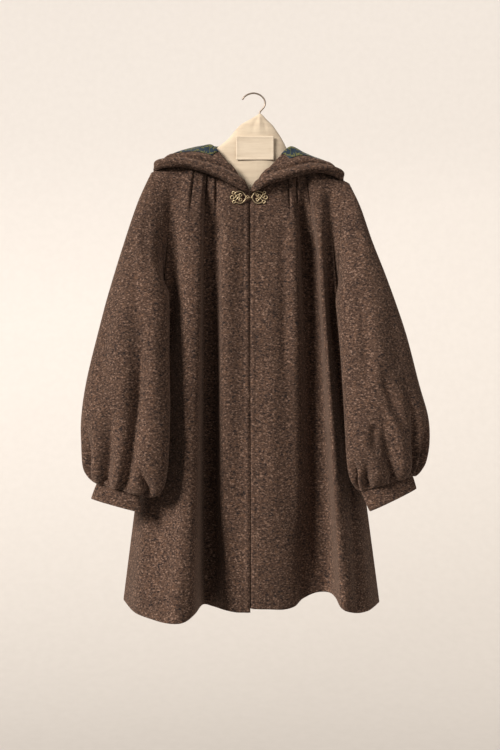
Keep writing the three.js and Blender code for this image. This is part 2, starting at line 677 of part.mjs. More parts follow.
// The cover's section at one place along it, a full round shape from its upper to its lower edge.
function coverSection(row) {
  const middle = (row.top + row.bottom) / 2;
  const half = (row.top - row.bottom) / 2;
  const fuller = (value, power) => Math.sign(value) * Math.pow(Math.abs(value), power);
  return Array.from({ length: coverRound }, (_, k) => {
    const a = (2 * Math.PI * k) / coverRound;
    return new THREE.Vector3(row.x, fuller(Math.sin(a), 0.7) * row.depth, middle + fuller(Math.cos(a), 0.9) * half);
  });
}

function hangerCover() {
  const positions = [];
  const index = [];
  coverProfile.forEach((row) => coverSection(row).forEach((p) => positions.push(p.x, p.y, p.z)));
  const count = coverProfile.length;
  for (let i = 0; i < count - 1; i++) {
    for (let j = 0; j < coverRound; j++) {
      const a = i * coverRound + j;
      const b = i * coverRound + ((j + 1) % coverRound);
      index.push(a, b + coverRound, b, a, a + coverRound, b + coverRound);
    }
  }
  for (let j = 1; j < coverRound - 1; j++) {
    const end = (count - 1) * coverRound;
    index.push(0, j, j + 1, end, end + j + 1, end + j);
  }
  const geometry = new THREE.BufferGeometry();
  geometry.setAttribute("position", new THREE.Float32BufferAttribute(positions, 3));
  geometry.setIndex(index);
  const shank = hookLine.at(-1);
  const socket = new THREE.CylinderGeometry(hookWire / 2 + seamGap, hookWire / 2 + seamGap, socketDepth, 10);
  socket.rotateX(Math.PI / 2);
  socket.translate(shank[0], 0, shank[1] - seamGap + socketDepth / 2);
  return cloth("hanger_cover", geometryOf(solid(geometry).subtract(solid(socket))), coverCloth);
}

// The patch follows the cover's front, a little off it.
function hangerPatch() {
  const face = Math.max(...coverProfile.map((row) => row.depth));
  const geometry = new THREE.BoxGeometry(patch.width, patch.thick, patch.height);
  const mesh = cloth("hanger_patch", geometry, patchCloth);
  mesh.position.set(patch.x, -face - seamGap - patch.thick / 2, patch.z);
  return mesh;
}

function hangerHook() {
  const points = hookLine.map(([x, z]) => new THREE.Vector3(x, 0, z));
  const line = new THREE.CatmullRomCurve3(points, false, "centripetal");
  return cloth("hanger_hook", wire(line, hookWire, wireSides, hookSteps), steel);
}

// The clasp's strands in the plane of the plate. inward points to the centre front.
const claspLoops = [
  { inward: -9.6, up: 9.4, radius: 2.9 },
  { inward: -12.6, up: -0.2, radius: 3.5 },
  { inward: -8.7, up: -9.2, radius: 2.9 },
  { inward: 4.7, up: 5, radius: 2.7 },
  { inward: 4.7, up: -5, radius: 2.7 },
];
const claspStrands = [
  [
    [-6.8, 8.4], [-3, 11], [2.4, 12.6], [9.4, 10.4], [14, 5], [16, 0],
    [14, -5], [9.4, -10.4], [3.6, -12.4], [-3, -11], [-6.8, -8],
  ],
  [[-10, -3], [-5.4, 0.6], [-2.4, 4.6], [2.4, 6.6]],
  [[-6.8, 7.6], [-5, 3], [-1.6, -1.4], [2.4, -6.4]],
  [[-7, -6.8], [-4, -4.6], [0, 0.2], [4.4, 2.4]],
  [[-1.6, -1.4], [1.6, 0], [4.4, -2.4]],
];
const claspCentre = { right: -34, left: 10.6, z: -220.5 };

// The clasp's eye, and its hook as inward, forward and up
const claspEyeAt = 19.6;
const claspEyeRadius = 3.2;
const claspHookWire = 1.8;
const claspHookLine = [
  [15.4, 0, 0],
  [17.5, 0.4, -1],
  [20.5, 3.3, -1],
  [24, 3.6, -1],
  [25.4, 2, -1],
  [25.4, 0.2, -1],
];

function claspHalf(which) {
  const inward = -sides[which].out;
  const place = ([across, up]) =>
    new THREE.Vector3(claspCentre[which] + inward * across, claspPlane, claspCentre.z + up);
  const parts = claspStrands.map((strand) => {
    const curve = new THREE.CatmullRomCurve3(strand.map(place), false, "centripetal");
    return wire(curve, claspWire, 5, Math.round(strand.length * 1.4));
  });
  claspLoops.forEach(({ inward: across, up, radius }) => {
    const ring = new THREE.TorusGeometry(radius, claspWire / 2, 4, 8);
    ring.rotateX(Math.PI / 2);
    const centre = place([across, up]);
    ring.translate(centre.x, centre.y, centre.z);
    parts.push(ring);
  });
  parts.push(...(which === "right" ? claspEye(place) : claspHook(place)));
  const joined = parts.map(solid).reduce((sum, part) => sum.add(part));
  return cloth("clasp_" + which, geometryOf(joined), agedBrass);
}

// The right half ends in an upright ring.
function claspEye(place) {
  const ring = new THREE.TorusGeometry(claspEyeRadius, claspWire / 2, 5, 10);
  ring.rotateX(Math.PI / 2);
  const centre = place([claspEyeAt, 0]);
  ring.translate(centre.x, centre.y, centre.z);
  return [ring];
}

// The left half's hook passes behind the ring's near side and comes forward through it.
function claspHook(place) {
  const at = (across, forward, up) => place([across, up]).add(new THREE.Vector3(0, -forward, 0));
  const points = claspHookLine.map((row) => at(...row));
  return [wire(new THREE.CatmullRomCurve3(points), claspHookWire, 5, 9)];
}

const coat = new THREE.Group();
for (const which of ["right", "left"]) {
  coat.add(front(which), sleeve(which), cuff(which));
  coat.add(hood(which), hoodFacing(which), hoodLining(which));
  coat.add(claspHalf(which));
}
coat.add(back());

const hanger = new THREE.Group();
hanger.add(hangerCover(), hangerPatch(), hangerHook());

const hungCoat = new THREE.Group();
hungCoat.add(coat, hanger);

export default hungCoat;
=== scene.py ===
import math

import bpy
import numpy as np
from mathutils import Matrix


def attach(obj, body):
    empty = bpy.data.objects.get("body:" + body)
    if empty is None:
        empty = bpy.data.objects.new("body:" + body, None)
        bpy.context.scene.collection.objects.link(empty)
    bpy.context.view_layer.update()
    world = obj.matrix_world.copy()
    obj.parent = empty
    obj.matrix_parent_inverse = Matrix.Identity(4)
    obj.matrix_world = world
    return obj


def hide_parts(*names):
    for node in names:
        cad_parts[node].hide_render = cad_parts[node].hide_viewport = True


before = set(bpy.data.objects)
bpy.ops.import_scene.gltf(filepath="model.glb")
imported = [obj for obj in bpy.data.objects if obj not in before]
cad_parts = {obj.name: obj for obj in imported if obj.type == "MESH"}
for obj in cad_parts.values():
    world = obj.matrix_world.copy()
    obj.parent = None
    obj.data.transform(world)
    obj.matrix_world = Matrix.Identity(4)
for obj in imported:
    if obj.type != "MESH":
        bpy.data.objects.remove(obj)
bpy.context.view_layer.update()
print("solids loaded")

# Everything below is worked out in millimetres and goes into Blender in metres.
mm = 0.001
seamGap = 0.3
chestHeight = -297

# The wearer's sides, so right is at -X
sides = {
    "right": {"out": -1, "neck": (-97, -118), "tip": (-216, -164.5), "under": (-190, -2, -385)},
    "left": {"out": 1, "neck": (82, -127), "tip": (198, -187), "under": (174, -2, -400)},
}


def named(columns, rows):
    # the rows of a table under the names of its columns, and a row may stop early
    return [dict(zip(columns, row)) for row in rows]


def smooth(t):
    t = np.clip(t, 0, 1)
    return t * t * (3 - 2 * t)


def bell(distance, width):
    return np.exp(-((distance / width) ** 2))


def unit(vectors):
    return vectors / np.maximum(np.linalg.norm(vectors, axis=-1, keepdims=True), 1e-9)


def splineAt(points, places):
    # Catmull-Rom through the rows of points, at places counted in rows
    points = np.asarray(points, float)
    places = np.asarray(places, float)
    if points.ndim == 3 and places.ndim == 1:
        places = np.repeat(places[:, None], points.shape[1], 1)
    last = len(points) - 1
    first = np.clip(np.floor(places).astype(int), 0, last - 1)
    t = (places - first)[..., None]

    def row(k):
        at = np.clip(first + k, 0, last)
        return points[at] if points.ndim == 2 else points[at, np.arange(points.shape[1])]

    return (
        row(-1) * (-t + 2 * t**2 - t**3)
        + row(0) * (2 - 5 * t**2 + 3 * t**3)
        + row(1) * (t + 4 * t**2 - 3 * t**3)
        + row(2) * (t**3 - t**2)
    ) / 2


def gridNormals(rows, turned=False, closed=False):
    if closed:
        along = np.roll(rows, -1, 1) - np.roll(rows, 1, 1)
    else:
        along = np.gradient(rows, axis=1)
    normals = np.cross(np.gradient(rows, axis=0), along)
    return unit(-normals if turned else normals)


def lineDistance(points, line):
    # distance from front-view points to a front-view line, and how far along it the nearest place is
    flat = points[..., (0, 2)]
    line = np.asarray(line, float)
    steps = np.linalg.norm(np.diff(line, axis=0), axis=1)
    starts = np.concatenate([[0], np.cumsum(steps)])
    nearest = np.full(flat.shape[:-1], 1e9)
    along = np.zeros(flat.shape[:-1])
    for k, length in enumerate(steps):
        way = (line[k + 1] - line[k]) / length
        run = np.clip((flat - line[k]) @ way, 0, length)
        away = np.linalg.norm(flat - line[k] - run[..., None] * way, axis=-1)
        closer = away < nearest
        nearest = np.where(closer, away, nearest)
        along = np.where(closer, starts[k] + run, along)
    return nearest, along / starts[-1]


# A crease is a soft trough (depth under 0) or ridge along a line seen from the front, x and z from its
# upper end. fade is the share of its length over which it comes in and goes out.
creaseColumns = ("line", "width", "depth", "fade")
usualFade = (0.3, 0.3)


def creaseDepth(points, creases):
    depth = np.zeros(points.shape[:-1])
    for crease in named(creaseColumns, creases):
        away, along = lineDistance(points, crease["line"])
        fadeIn, fadeOut = crease.get("fade", usualFade)
        taper = smooth(along / fadeIn) if fadeIn else 1
        taper = taper * (smooth((1 - along) / fadeOut) if fadeOut else 1)
        depth += crease["depth"] * taper * bell(away, crease["width"])
    return depth


def meshPiece(name, points, faces, material, slot="wool", uv=None, rounded=True):
    mesh = bpy.data.meshes.new(name)
    mesh.from_pydata((np.asarray(points) * mm).tolist(), [], faces)
    mesh.polygons.foreach_set("use_smooth", [rounded] * len(mesh.polygons))
    if uv is not None:
        corners = np.empty(len(mesh.loops), int)
        mesh.loops.foreach_get("vertex_index", corners)
        mesh.uv_layers.new(name="cloth").data.foreach_set("uv", np.asarray(uv)[corners].ravel())
    mesh.materials.append(material)
    mesh.update()
    piece = bpy.data.objects.new(name, mesh)
    bpy.context.collection.objects.link(piece)
    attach(piece, "root")
    return piece


def clothSpans(high, wide, closed):
    # quads of a wall: outer skin, inner skin and rims
    around = wide if closed else wide - 1
    i, j = np.meshgrid(np.arange(high - 1), np.arange(around), indexing="ij")
    i, j = i.ravel(), j.ravel()
    after = (j + 1) % wide
    skin = high * wide
    outer = np.stack([i * wide + j, (i + 1) * wide + j, (i + 1) * wide + after, i * wide + after], 1)
    quads = [outer, outer[:, ::-1] + skin]
    j = np.arange(around)
    after = (j + 1) % wide
    low = (high - 1) * wide
    quads.append(np.stack([j, after, skin + after, skin + j], 1))
    quads.append(np.stack([low + after, low + j, skin + low + j, skin + low + after], 1))
    if not closed:
        i = np.arange(high - 1) * wide
        quads.append(np.stack([i + wide, i, skin + i, skin + i + wide], 1))
        i = i + wide - 1
        quads.append(np.stack([i, i + wide, skin + i + wide, skin + i], 1))
    return np.concatenate(quads)


softEdge = 0.6  # a free edge is this much thinner, so that it looks turned
edgeRows = {
    "top": (0, slice(None)),
    "bottom": (-1, slice(None)),
    "start": (slice(None), 0),
    "end": (slice(None), -1),
}


def clothWall(
    name, rows, normals, thickness, material, slot="wool", lift=0, turned=False, closed=False, soft=()
):
    # lift is how far the outer skin lies off the rows, and soft names the free edges
    half = np.full(rows.shape[:2], thickness / 2)
    for edge in soft:
        half[edgeRows[edge]] *= softEdge
    middle = rows + normals * (lift - thickness / 2)
    outward = normals * half[..., None]
    points = np.concatenate([(middle + outward).reshape(-1, 3), (middle - outward).reshape(-1, 3)])
    across = np.linalg.norm(np.diff(rows, axis=1, prepend=rows[:, :1]), axis=2).cumsum(1)
    down = np.linalg.norm(np.diff(rows, axis=0, prepend=rows[:1]), axis=2).cumsum(0)
    uv = np.stack([across, down], 2).reshape(-1, 2) * mm
    faces = clothSpans(*rows.shape[:2], closed)
    if turned:
        faces = faces[:, ::-1]
    return meshPiece(name, points, faces.tolist(), material, slot, np.concatenate([uv, uv]))


# Materials


def newMaterial(name, surface):
    material = bpy.data.materials.new(name)
    material.use_nodes = True
    nodes = material.node_tree.nodes
    shader = nodes["Principled BSDF"]
    setSockets(shader, surface)
    return material, nodes, material.node_tree.links, shader


def setSockets(node, values):
    for name, value in values.items():
        node.inputs[name].default_value = value


def feed(links, socket, value):
    # another node's output, or a fixed number or colour
    if isinstance(value, (int, float)):
        socket.default_value = value
    elif isinstance(value, tuple):
        socket.default_value = (*value, 1)
    else:
        links.new(value, socket)


def ramp(nodes, links, factor, stops):
    node = nodes.new("ShaderNodeValToRGB")
    elements = node.color_ramp.elements
    while len(elements) < len(stops):
        elements.new(0.5)
    for element, (place, colour) in zip(elements, stops):
        element.position = place
        element.color = (*colour, 1)
    links.new(factor, node.inputs["Fac"])
    return node.outputs["Color"]


def greys(*stops):
    return [(place, (value,) * 3) for place, value in stops]


def mathNode(nodes, links, operation, *values):
    node = nodes.new("ShaderNodeMath")
    node.operation = operation
    for socket, value in zip(node.inputs, values):
        feed(links, socket, value)
    return node.outputs[0]


def mixColour(nodes, links, blend, factor, first, second):
    node = nodes.new("ShaderNodeMix")
    node.data_type = "RGBA"
    node.blend_type = blend
    for socket, value in ((node.inputs["Factor"], factor), (node.inputs[6], first), (node.inputs[7], second)):
        feed(links, socket, value)
    return node.outputs[2]


def noise(nodes, links, vector, scale, detail=2.0, roughness=0.5):
    node = nodes.new("ShaderNodeTexNoise")
    setSockets(node, {"Scale": scale, "Detail": detail, "Roughness": roughness})
    links.new(vector, node.inputs["Vector"])
    return node.outputs["Fac"]


def stretched(nodes, links, vector, scale):
    node = nodes.new("ShaderNodeMapping")
    node.inputs["Scale"].default_value = scale
    links.new(vector, node.inputs["Vector"])
    return node.outputs["Vector"]


def bump(nodes, links, height, strength, distance, under=None):
    node = nodes.new("ShaderNodeBump")
    setSockets(node, {"Strength": strength, "Distance": distance})
    links.new(height, node.inputs["Height"])
    if under is not None:
        links.new(under, node.inputs["Normal"])
    return node.outputs["Normal"]


# grain, fleck, nap and patch are noise scales, to a metre
woolLook = {
    "shadow": (0.020, 0.013, 0.011),
    "body": (0.078, 0.047, 0.034),
    "light": (0.25, 0.165, 0.125),
    "rust": (0.19, 0.105, 0.064),
    "ink": (0.010, 0.010, 0.012),
    "grain": 300,
    "fleck": 210,
    "nap": 1500,
    "patch": 9,
    "yarn": (0.72, 0.72, 1.15),  # the yarns lie across, so the grain is wider than it is high
    "surface": {
        "Roughness": 0.96,
        "Specular IOR Level": 0.12,
        "Sheen Weight": 0.22,
        "Sheen Roughness": 0.55,
        "Sheen Tint": (0.62, 0.45, 0.36, 1),
    },
}


def woolMaterial():
    look = woolLook
    material, nodes, links, shader = newMaterial("brownMelangeWool", look["surface"])
    place = nodes.new("ShaderNodeTexCoord").outputs["Object"]
    yarns = stretched(nodes, links, place, look["yarn"])
    grain = noise(nodes, links, yarns, look["grain"], 2.0, 0.6)
    fleck = noise(nodes, links, yarns, look["fleck"], 2.0, 0.6)
    patches = noise(nodes, links, place, look["patch"], 3.0, 0.55)
    nap = noise(nodes, links, place, look["nap"], 2.0, 0.7)
    tones = [(0.35, look["shadow"]), (0.46, look["body"]), (0.56, look["body"]), (0.68, look["light"])]
    body = ramp(nodes, links, grain, tones)
    rusty = ramp(nodes, links, fleck, greys((0.58, 0), (0.67, 0.42)))
    inky = ramp(nodes, links, fleck, greys((0.33, 0.85), (0.42, 0)))
    flecked = mixColour(nodes, links, "MIX", rusty, body, look["rust"])
    inked = mixColour(nodes, links, "MIX", inky, flecked, look["ink"])
    tone = ramp(nodes, links, patches, [(0.3, (0.86, 0.85, 0.85)), (0.7, (1.12, 1.1, 1.09))])
    links.new(mixColour(nodes, links, "MULTIPLY", 1.0, inked, tone), shader.inputs["Base Color"])
    fuzz = bump(nodes, links, nap, 0.5, 0.0006)
    links.new(bump(nodes, links, grain, 0.75, 0.0016, fuzz), shader.inputs["Normal"])
    return material


def threadMaterial():
    material, nodes, links, shader = newMaterial("brownThread", {"Roughness": 0.6})
    twist = noise(nodes, links, nodes.new("ShaderNodeTexCoord").outputs["Object"], 900, 1.0)
    colour = ramp(nodes, links, twist, [(0.35, (0.028, 0.018, 0.014)), (0.7, (0.09, 0.058, 0.044))])
    links.new(colour, shader.inputs["Base Color"])
    return material


# sizes of the leaf print in metres. A leaf is its turn and how far it is shifted across and down.
liningLook = {
    "ground": (0.010, 0.030, 0.052),
    "shade": (0.006, 0.014, 0.028),
    "leaf": (0.17, 0.16, 0.035),
    "vine": (0.08, 0.09, 0.028),
    "across": 0.017,
    "down": 0.026,
    "stemWave": 0.034,
    "stemSwing": 0.006,
    "stemHalf": 0.0008,
    "leafLong": 0.0050,
    "leafHalf": 0.0019,
    "leafBend": 55,
    "veinHalf": 0.00022,
    "leaves": ((0.9, 0.0, 0.0), (-0.8, 0.0085, 0.013), (2.2, 0.004, 0.006), (-2.3, 0.013, 0.019)),
    "surface": {"Roughness": 0.72, "Specular IOR Level": 0.3, "Sheen Weight": 0.15},
}


def liningMaterial():
    # leaves on curling stems, repeated over the cloth
    look = liningLook
    material, nodes, links, shader = newMaterial("leafPrintLining", look["surface"])
    uv = nodes.new("ShaderNodeTexCoord").outputs["UV"]
    split = nodes.new("ShaderNodeSeparateXYZ")
    links.new(uv, split.inputs["Vector"])

    def calc(operation, *values):
        return mathNode(nodes, links, operation, *values)

    def inCell(value, shift, size):
        # from the middle of a repeat, and the 10 keeps what is divided above 0
        return calc("SUBTRACT", calc("MODULO", calc("ADD", value, 10.0 + shift), size), size / 2)

    u, v = split.outputs["X"], split.outputs["Y"]
    wave = calc("SINE", calc("MULTIPLY", u, 2 * math.pi / look["stemWave"]))
    fromStem = calc("SUBTRACT", v, calc("MULTIPLY", wave, look["stemSwing"]))
    onStem = calc("LESS_THAN", calc("ABSOLUTE", inCell(fromStem, 0.0, look["down"])), look["stemHalf"])
    leaves = None
    for turn, shiftU, shiftV in look["leaves"]:
        cellU = inCell(u, shiftU, look["across"])
        cellV = inCell(fromStem, shiftV, look["down"])
        cos, sin = math.cos(turn), math.sin(turn)
        longWay = calc("ADD", calc("MULTIPLY", cellU, cos), calc("MULTIPLY", cellV, sin))
        acrossWay = calc("SUBTRACT", calc("MULTIPLY", cellV, cos), calc("MULTIPLY", cellU, sin))
        bent = calc("ADD", acrossWay, calc("MULTIPLY", calc("MULTIPLY", longWay, longWay), look["leafBend"]))
        tip = calc("POWER", calc("ABSOLUTE", calc("DIVIDE", longWay, look["leafLong"])), 1.6)
        rim = calc("POWER", calc("ABSOLUTE", calc("DIVIDE", bent, look["leafHalf"])), 2.0)
        inside = calc("LESS_THAN", calc("ADD", tip, rim), 1.0)
        leaf = calc("MULTIPLY", inside, calc("GREATER_THAN", calc("ABSOLUTE", bent), look["veinHalf"]))
        leaves = leaf if leaves is None else calc("MAXIMUM", leaves, leaf)
    cloud = noise(nodes, links, uv, 140, 3.0, 0.6)
    ground = ramp(nodes, links, cloud, [(0.35, look["shade"]), (0.65, look["ground"])])
    leafTone = ramp(nodes, links, cloud, [(0.3, look["vine"]), (0.65, look["leaf"])])
    stems = mixColour(nodes, links, "MIX", onStem, ground, look["vine"])
    links.new(mixColour(nodes, links, "MIX", leaves, stems, leafTone), shader.inputs["Base Color"])
    links.new(bump(nodes, links, noise(nodes, links, uv, 2600, 1.0), 0.3, 0.0003), shader.inputs["Normal"])
    return material


weaveLook = {
    "thread": {"Scale": 340, "Distortion": 1.2, "Detail": 1.0, "Detail Scale": 3.0},
    "slubStretch": (0.25, 1, 2.2),
    "surface": {"Roughness": 0.88, "Specular IOR Level": 0.2, "Sheen Weight": 0.1},
}


def plainWeaveMaterial(name, dark, light, slub):
    # undyed cotton: fine warp and weft with slubs
    look = weaveLook
    material, nodes, links, shader = newMaterial(name, look["surface"])
    place = nodes.new("ShaderNodeTexCoord").outputs["Object"]
    threads = []
    for axis in ("X", "Z"):
        wave = nodes.new("ShaderNodeTexWave")
        wave.bands_direction = axis
        setSockets(wave, look["thread"])
        links.new(place, wave.inputs["Vector"])
        threads.append(wave.outputs["Fac"])
    mottle = noise(nodes, links, stretched(nodes, links, place, look["slubStretch"]), slub, 4.0, 0.6)
    links.new(ramp(nodes, links, mottle, [(0.32, dark), (0.62, light)]), shader.inputs["Base Color"])
    rumple = bump(nodes, links, noise(nodes, links, place, 60, 3.0, 0.5), 0.25, 0.002)
    weave = mathNode(nodes, links, "ADD", *threads)
    links.new(bump(nodes, links, weave, 0.35, 0.00025, rumple), shader.inputs["Normal"])
    return material


def metalMaterial(name, bright, tarnish, roughness, grime):
    # grime is the scale of the tarnished spots, and hollows are tarnished too
    material, nodes, links, shader = newMaterial(name, {"Metallic": 0.72})
    wear = noise(nodes, links, nodes.new("ShaderNodeTexCoord").outputs["Object"], grime, 3.0, 0.6)
    hollow = nodes.new("ShaderNodeNewGeometry").outputs["Pointiness"]
    edge = ramp(nodes, links, hollow, greys((0.44, 0), (0.53, 1)))
    mottled = ramp(nodes, links, wear, [(0.35, tarnish), (0.6, bright)])
    links.new(mixColour(nodes, links, "MIX", edge, tarnish, mottled), shader.inputs["Base Color"])
    gloss = ramp(nodes, links, wear, greys((0.3, roughness + 0.18), (0.7, roughness)))
    links.new(gloss, shader.inputs["Roughness"])
    links.new(bump(nodes, links, wear, 0.12, 0.0003), shader.inputs["Normal"])
    return material


wool = woolMaterial()
thread = threadMaterial()
liningPrint = liningMaterial()
calico = plainWeaveMaterial("undyedCalico", (0.60, 0.49, 0.37), (0.71, 0.60, 0.46), 42)
patchWeave = plainWeaveMaterial("blankPatchTape", (0.67, 0.56, 0.43), (0.78, 0.67, 0.53), 55)
claspMetal = metalMaterial("antiqueBrass", (0.95, 0.86, 0.66), (0.42, 0.32, 0.18), 0.34, 420)
hookMetal = metalMaterial("hookWire", (0.60, 0.50, 0.42), (0.34, 0.27, 0.22), 0.30, 260)
print("materials ready")


# Threads laid on the cloth


# pitch and length of a stitch along its row, and its thickness
topstitch = {"pitch": 4.3, "length": 3.2, "thick": 0.75}
cuffStitch = {"pitch": 3.8, "length": 2.9, "thick": 0.6}
patchStitch = {"pitch": 2.6, "length": 1.9, "thick": 0.4}


def stitchRow(path, normals, pitch, length, thick):
    # each stitch is a small spindle with its ends sunk in the cloth
    steps = np.linalg.norm(np.diff(path, axis=0), axis=1)
    run = np.concatenate([[0], np.cumsum(steps)])
    sink = 0.25
    points, faces = [], []

    def at(where, values):
        return np.array([np.interp(where, run, values[:, k]) for k in range(3)])

    for k in range(int(run[-1] // pitch)):
        start = k * pitch + 0.5
        first, last = at(start, path), at(start + length, path)
        up = unit(at(k * pitch + length / 2, normals))
        across = np.cross(up, unit(last - first)) * thick / 2
        middle = (first + last) / 2 + up * thick * 0.2
        base = len(points)
        ring = [middle + across, middle + up * thick * 0.55, middle - across, middle - up * thick * 0.4]
        points += [first - up * sink, *ring, last - up * sink]
        for m in range(4):
            n = (m + 1) % 4
            faces.append((base, base + 1 + n, base + 1 + m))
            faces.append((base + 5, base + 1 + m, base + 1 + n))
    return points, faces


def joined(parts):
    points, faces = [], []
    for partPoints, partFaces in parts:
        base = len(points)
        points += list(partPoints)
        faces += [[base + v for v in face] for face in partFaces]
    return points, faces


def stitchPiece(name, rows, material=thread, slot="wool"):
    return meshPiece(name, *joined(rows), material, slot, rounded=False)


# Body: fronts and back hang from the hanger in folds

bodyCloth = {
    "thickness": 2.6,
    "yokeDepth": 15,
    "yokeTurn": 13,
    "armholeFront": 26,
    "armholeBack": 38,
    "ownNormal": 0.6,  # how much a panel keeps of its own slope along the armhole
    "creaseReach": 24,  # creases are flat on the seams and full this far from them
    "foldWidth": 20,  # between fold lines, near enough
    "seamReach": 20,  # the top edge lies on the shoulder seam up to this far from it
}
# drops are shares of the way from the top edge to the chest
tuckShape = {
    "height": 3.4,
    "fade": 13,  # mm over which a tuck sinks back into the cloth
    "lip": 0.07,  # fold widths over which its edge rises
    "end": (0.42, 0.75),  # where its sewing ends and where it has opened out
    "stitchIn": 0.36,  # its topstitch, in fold widths from its edge
    "stitchEnd": 0.5,
    "reach": 6,
    "slitDepth": 6,
    "slitDrop": (0.55, 0.16),
    "slitBeside": (0.10, 0.10),
}

# top is a place on the neckline, or the x of one on the shoulder seam. swell bends a line's depth below
# the chest. A side seam has only its hem, because it hangs from the armhole.
foldColumns = ("at", "top", "chest", "hem", "swell", "tuck")
frontFolds = {
    "right": named(foldColumns, [
        ("centre front", (-10.6, -22, -214), (-10, -24), (-9.1, -63.6, -1078)),
        ("placket", (-22, -22, -199), (-22, -25), (-22, -62, -1078)),
        ("flat", (-42, -21, -173), (-45, -27), (-40, -58, -1078)),
        ("trough start", (-62, -19, -154), (-66, -26), (-63, -42, -1076)),
        ("trough", (-80, -16, -137), (-85, -9), (-87, -6, -1075), 1, 1),
        ("trough end", -97, (-105, -8), (-108, -2, -1072), 1, 1),
        ("crest edge", -108, (-112, -31), (-120, -112, -1072), 1.1),
        ("crest", -119, (-138, -36), (-141, -142, -1083), 1.2, 1),
        ("crest far", -144, (-153, -27), (-168, -148, -1084), 1.6),
        ("lobe", -168, (-168, -12), (-206, -124, -1080), 2.3),
        ("lobe side", -192, (-180, -11), (-246, -76, -1074), 2.3),
        ("side", None, None, (-276, 5, -1063)),
    ]),
    "left": named(foldColumns, [
        ("centre front", (-9.4, -22, -214), (-9.4, -24), (-9.9, -59.6, -1070)),
        ("placket", (2, -22, -199), (2, -25), (3, -62, -1071)),
        ("flat", (22, -21, -175), (28, -27), (28, -58, -1072)),
        ("turn", (44, -19, -158), (56, -27), (60, -49, -1074)),
        ("trough start", (64, -16, -143), (78, -25), (84, -34, -1070), 1, 1),
        ("trough side", 84, (93, -14), (101, -12, -1058), 1, 1),
        ("trough", 95, (107, -3), (129, -1, -1047)),
        ("trough end", 106, (120, -8), (154, -4, -1046), 1, 1),
        ("crest edge", 120, (128, -32), (166, -52, -1049)),
        ("crest", 138, (141, -34), (175, -108, -1061), 1.4),
        ("valley", 158, (155, -16), (198, -102, -1070), 2),
        ("lobe side", 178, (162, -15), (232, -70, -1073), 2.2),
        ("side", None, None, (263, 5, -1068)),
    ]),
}
backFolds = named(foldColumns, [
    ("right side", None, None, (-276, 5, -1063)),
    ("right hollow", -158, (-158, 22.6), (-226, 36.6, -1053)),
    ("right ridge", -122, (-112, 29.6), (-164, 58.6, -1047)),
    ("right valley", -97, (-72, 25.6), (-106, 38.6, -1046)),
    ("right of centre", (-48, 18, -127), (-36, 30), (-50, 60.6, -1045)),
    ("centre back", (-7, 20.5, -131), (-7, 27), (-8, 40.6, -1045)),
    ("left of centre", (34, 18, -131), (22, 30), (34, 60.6, -1045)),
    ("left valley", 82, (58, 25.6), (90, 38.6, -1046)),
    ("left ridge", 106, (98, 29.6), (148, 58.6, -1048)),
    ("left hollow", 142, (143, 22.6), (212, 36.6, -1055)),
    ("left side", None, None, (263, 5, -1068)),
])

frontCreases = {
    "right": [
        ([(-112, -168), (-124, -222), (-136, -262)], 7, -3),
        ([(-78, -218), (-79, -300), (-82, -470), (-86, -1070)], 15, -9, (0.08, 0.1)),
        ([(-10.6, -214), (-10, -300), (-9.1, -1080)], 3.2, -3.2, (0.02, 0)),
        ([(-22, -206), (-22, -1080)], 2.4, -1.2, (0.02, 0)),
        ([(-60, -240), (-60, -560), (-66, -1000)], 24, 8, (0.15, 0.2)),
        ([(-30, -260), (-32, -620), (-34, -1060)], 15, -3, (0.2, 0.1)),
        ([(-160, -250), (-168, -400), (-176, -560)], 10, -5),
        ([(-150, -640), (-166, -830), (-186, -1060)], 18, -7, (0.4, 0)),
        ([(-212, -760), (-222, -900), (-232, -1060)], 15, 5, (0.5, 0)),
    ],
    "left": [
        ([(52, -173), (67, -222), (73, -262)], 7, -3),
        ([(-9.4, -214), (-9.4, -300), (-9.9, -1072)], 3.2, -3.2, (0.02, 0)),
        ([(2, -206), (3, -1074)], 2.4, -1.2, (0.02, 0)),
        ([(98, -212), (106, -300), (114, -480), (124, -800), (134, -1040)], 11, -10, (0.06, 0.1)),
        ([(114, -250), (122, -400), (136, -640), (150, -900), (157, -1060)], 11, -9, (0.1, 0.08)),
        ([(80, -230), (84, -420), (92, -700), (96, -960)], 12, 7, (0.12, 0.2)),
        ([(58, -240), (62, -420), (66, -640)], 10, -4),
        ([(30, -280), (36, -560), (34, -980)], 16, 3),
        ([(150, -260), (160, -420), (168, -560)], 10, -5),
        ([(186, -620), (204, -820), (214, -1060)], 13, -7, (0.4, 0)),
        ([(158, -560), (178, -800), (190, -1040)], 14, 4, (0.4, 0)),
    ],
}
backCreases = [
    ([(-120, -300), (-132, -520), (-150, -760)], 14, -5),
    ([(-60, -420), (-66, -640), (-78, -1000)], 16, -5, (0.3, 0.1)),
    ([(-4, -420), (-10, -700), (-6, -1040)], 13, -6, (0.3, 0)),
    ([(50, -400), (62, -660), (70, -1000)], 17, -4, (0.3, 0.1)),
    ([(108, -280), (118, -480), (136, -800)], 13, -5),
    ([(176, -520), (196, -760), (214, -1050)], 15, 5, (0.4, 0)),
    ([(-186, -520), (-206, -760), (-226, -1050)], 16, 5, (0.4, 0)),
]


def armholePoints(side, angles):
    # angles run from the tip of the shoulder, over the front, to the underarm and up the back
    a = np.radians(angles)
    tip, under = side["tip"], side["under"]
    z = (tip[1] + under[2]) / 2 + (tip[1] - under[2]) / 2 * np.cos(a)
    rise = (z - under[2]) / (tip[1] - under[2])
    x = under[0] + (tip[0] - under[0]) * np.maximum(0, rise) ** 2.5
    depth = np.where(np.sin(a) > 0, bodyCloth["armholeFront"], bodyCloth["armholeBack"])
    return np.stack([x, under[1] * (1 - rise) - depth * np.sin(a), z], -1)


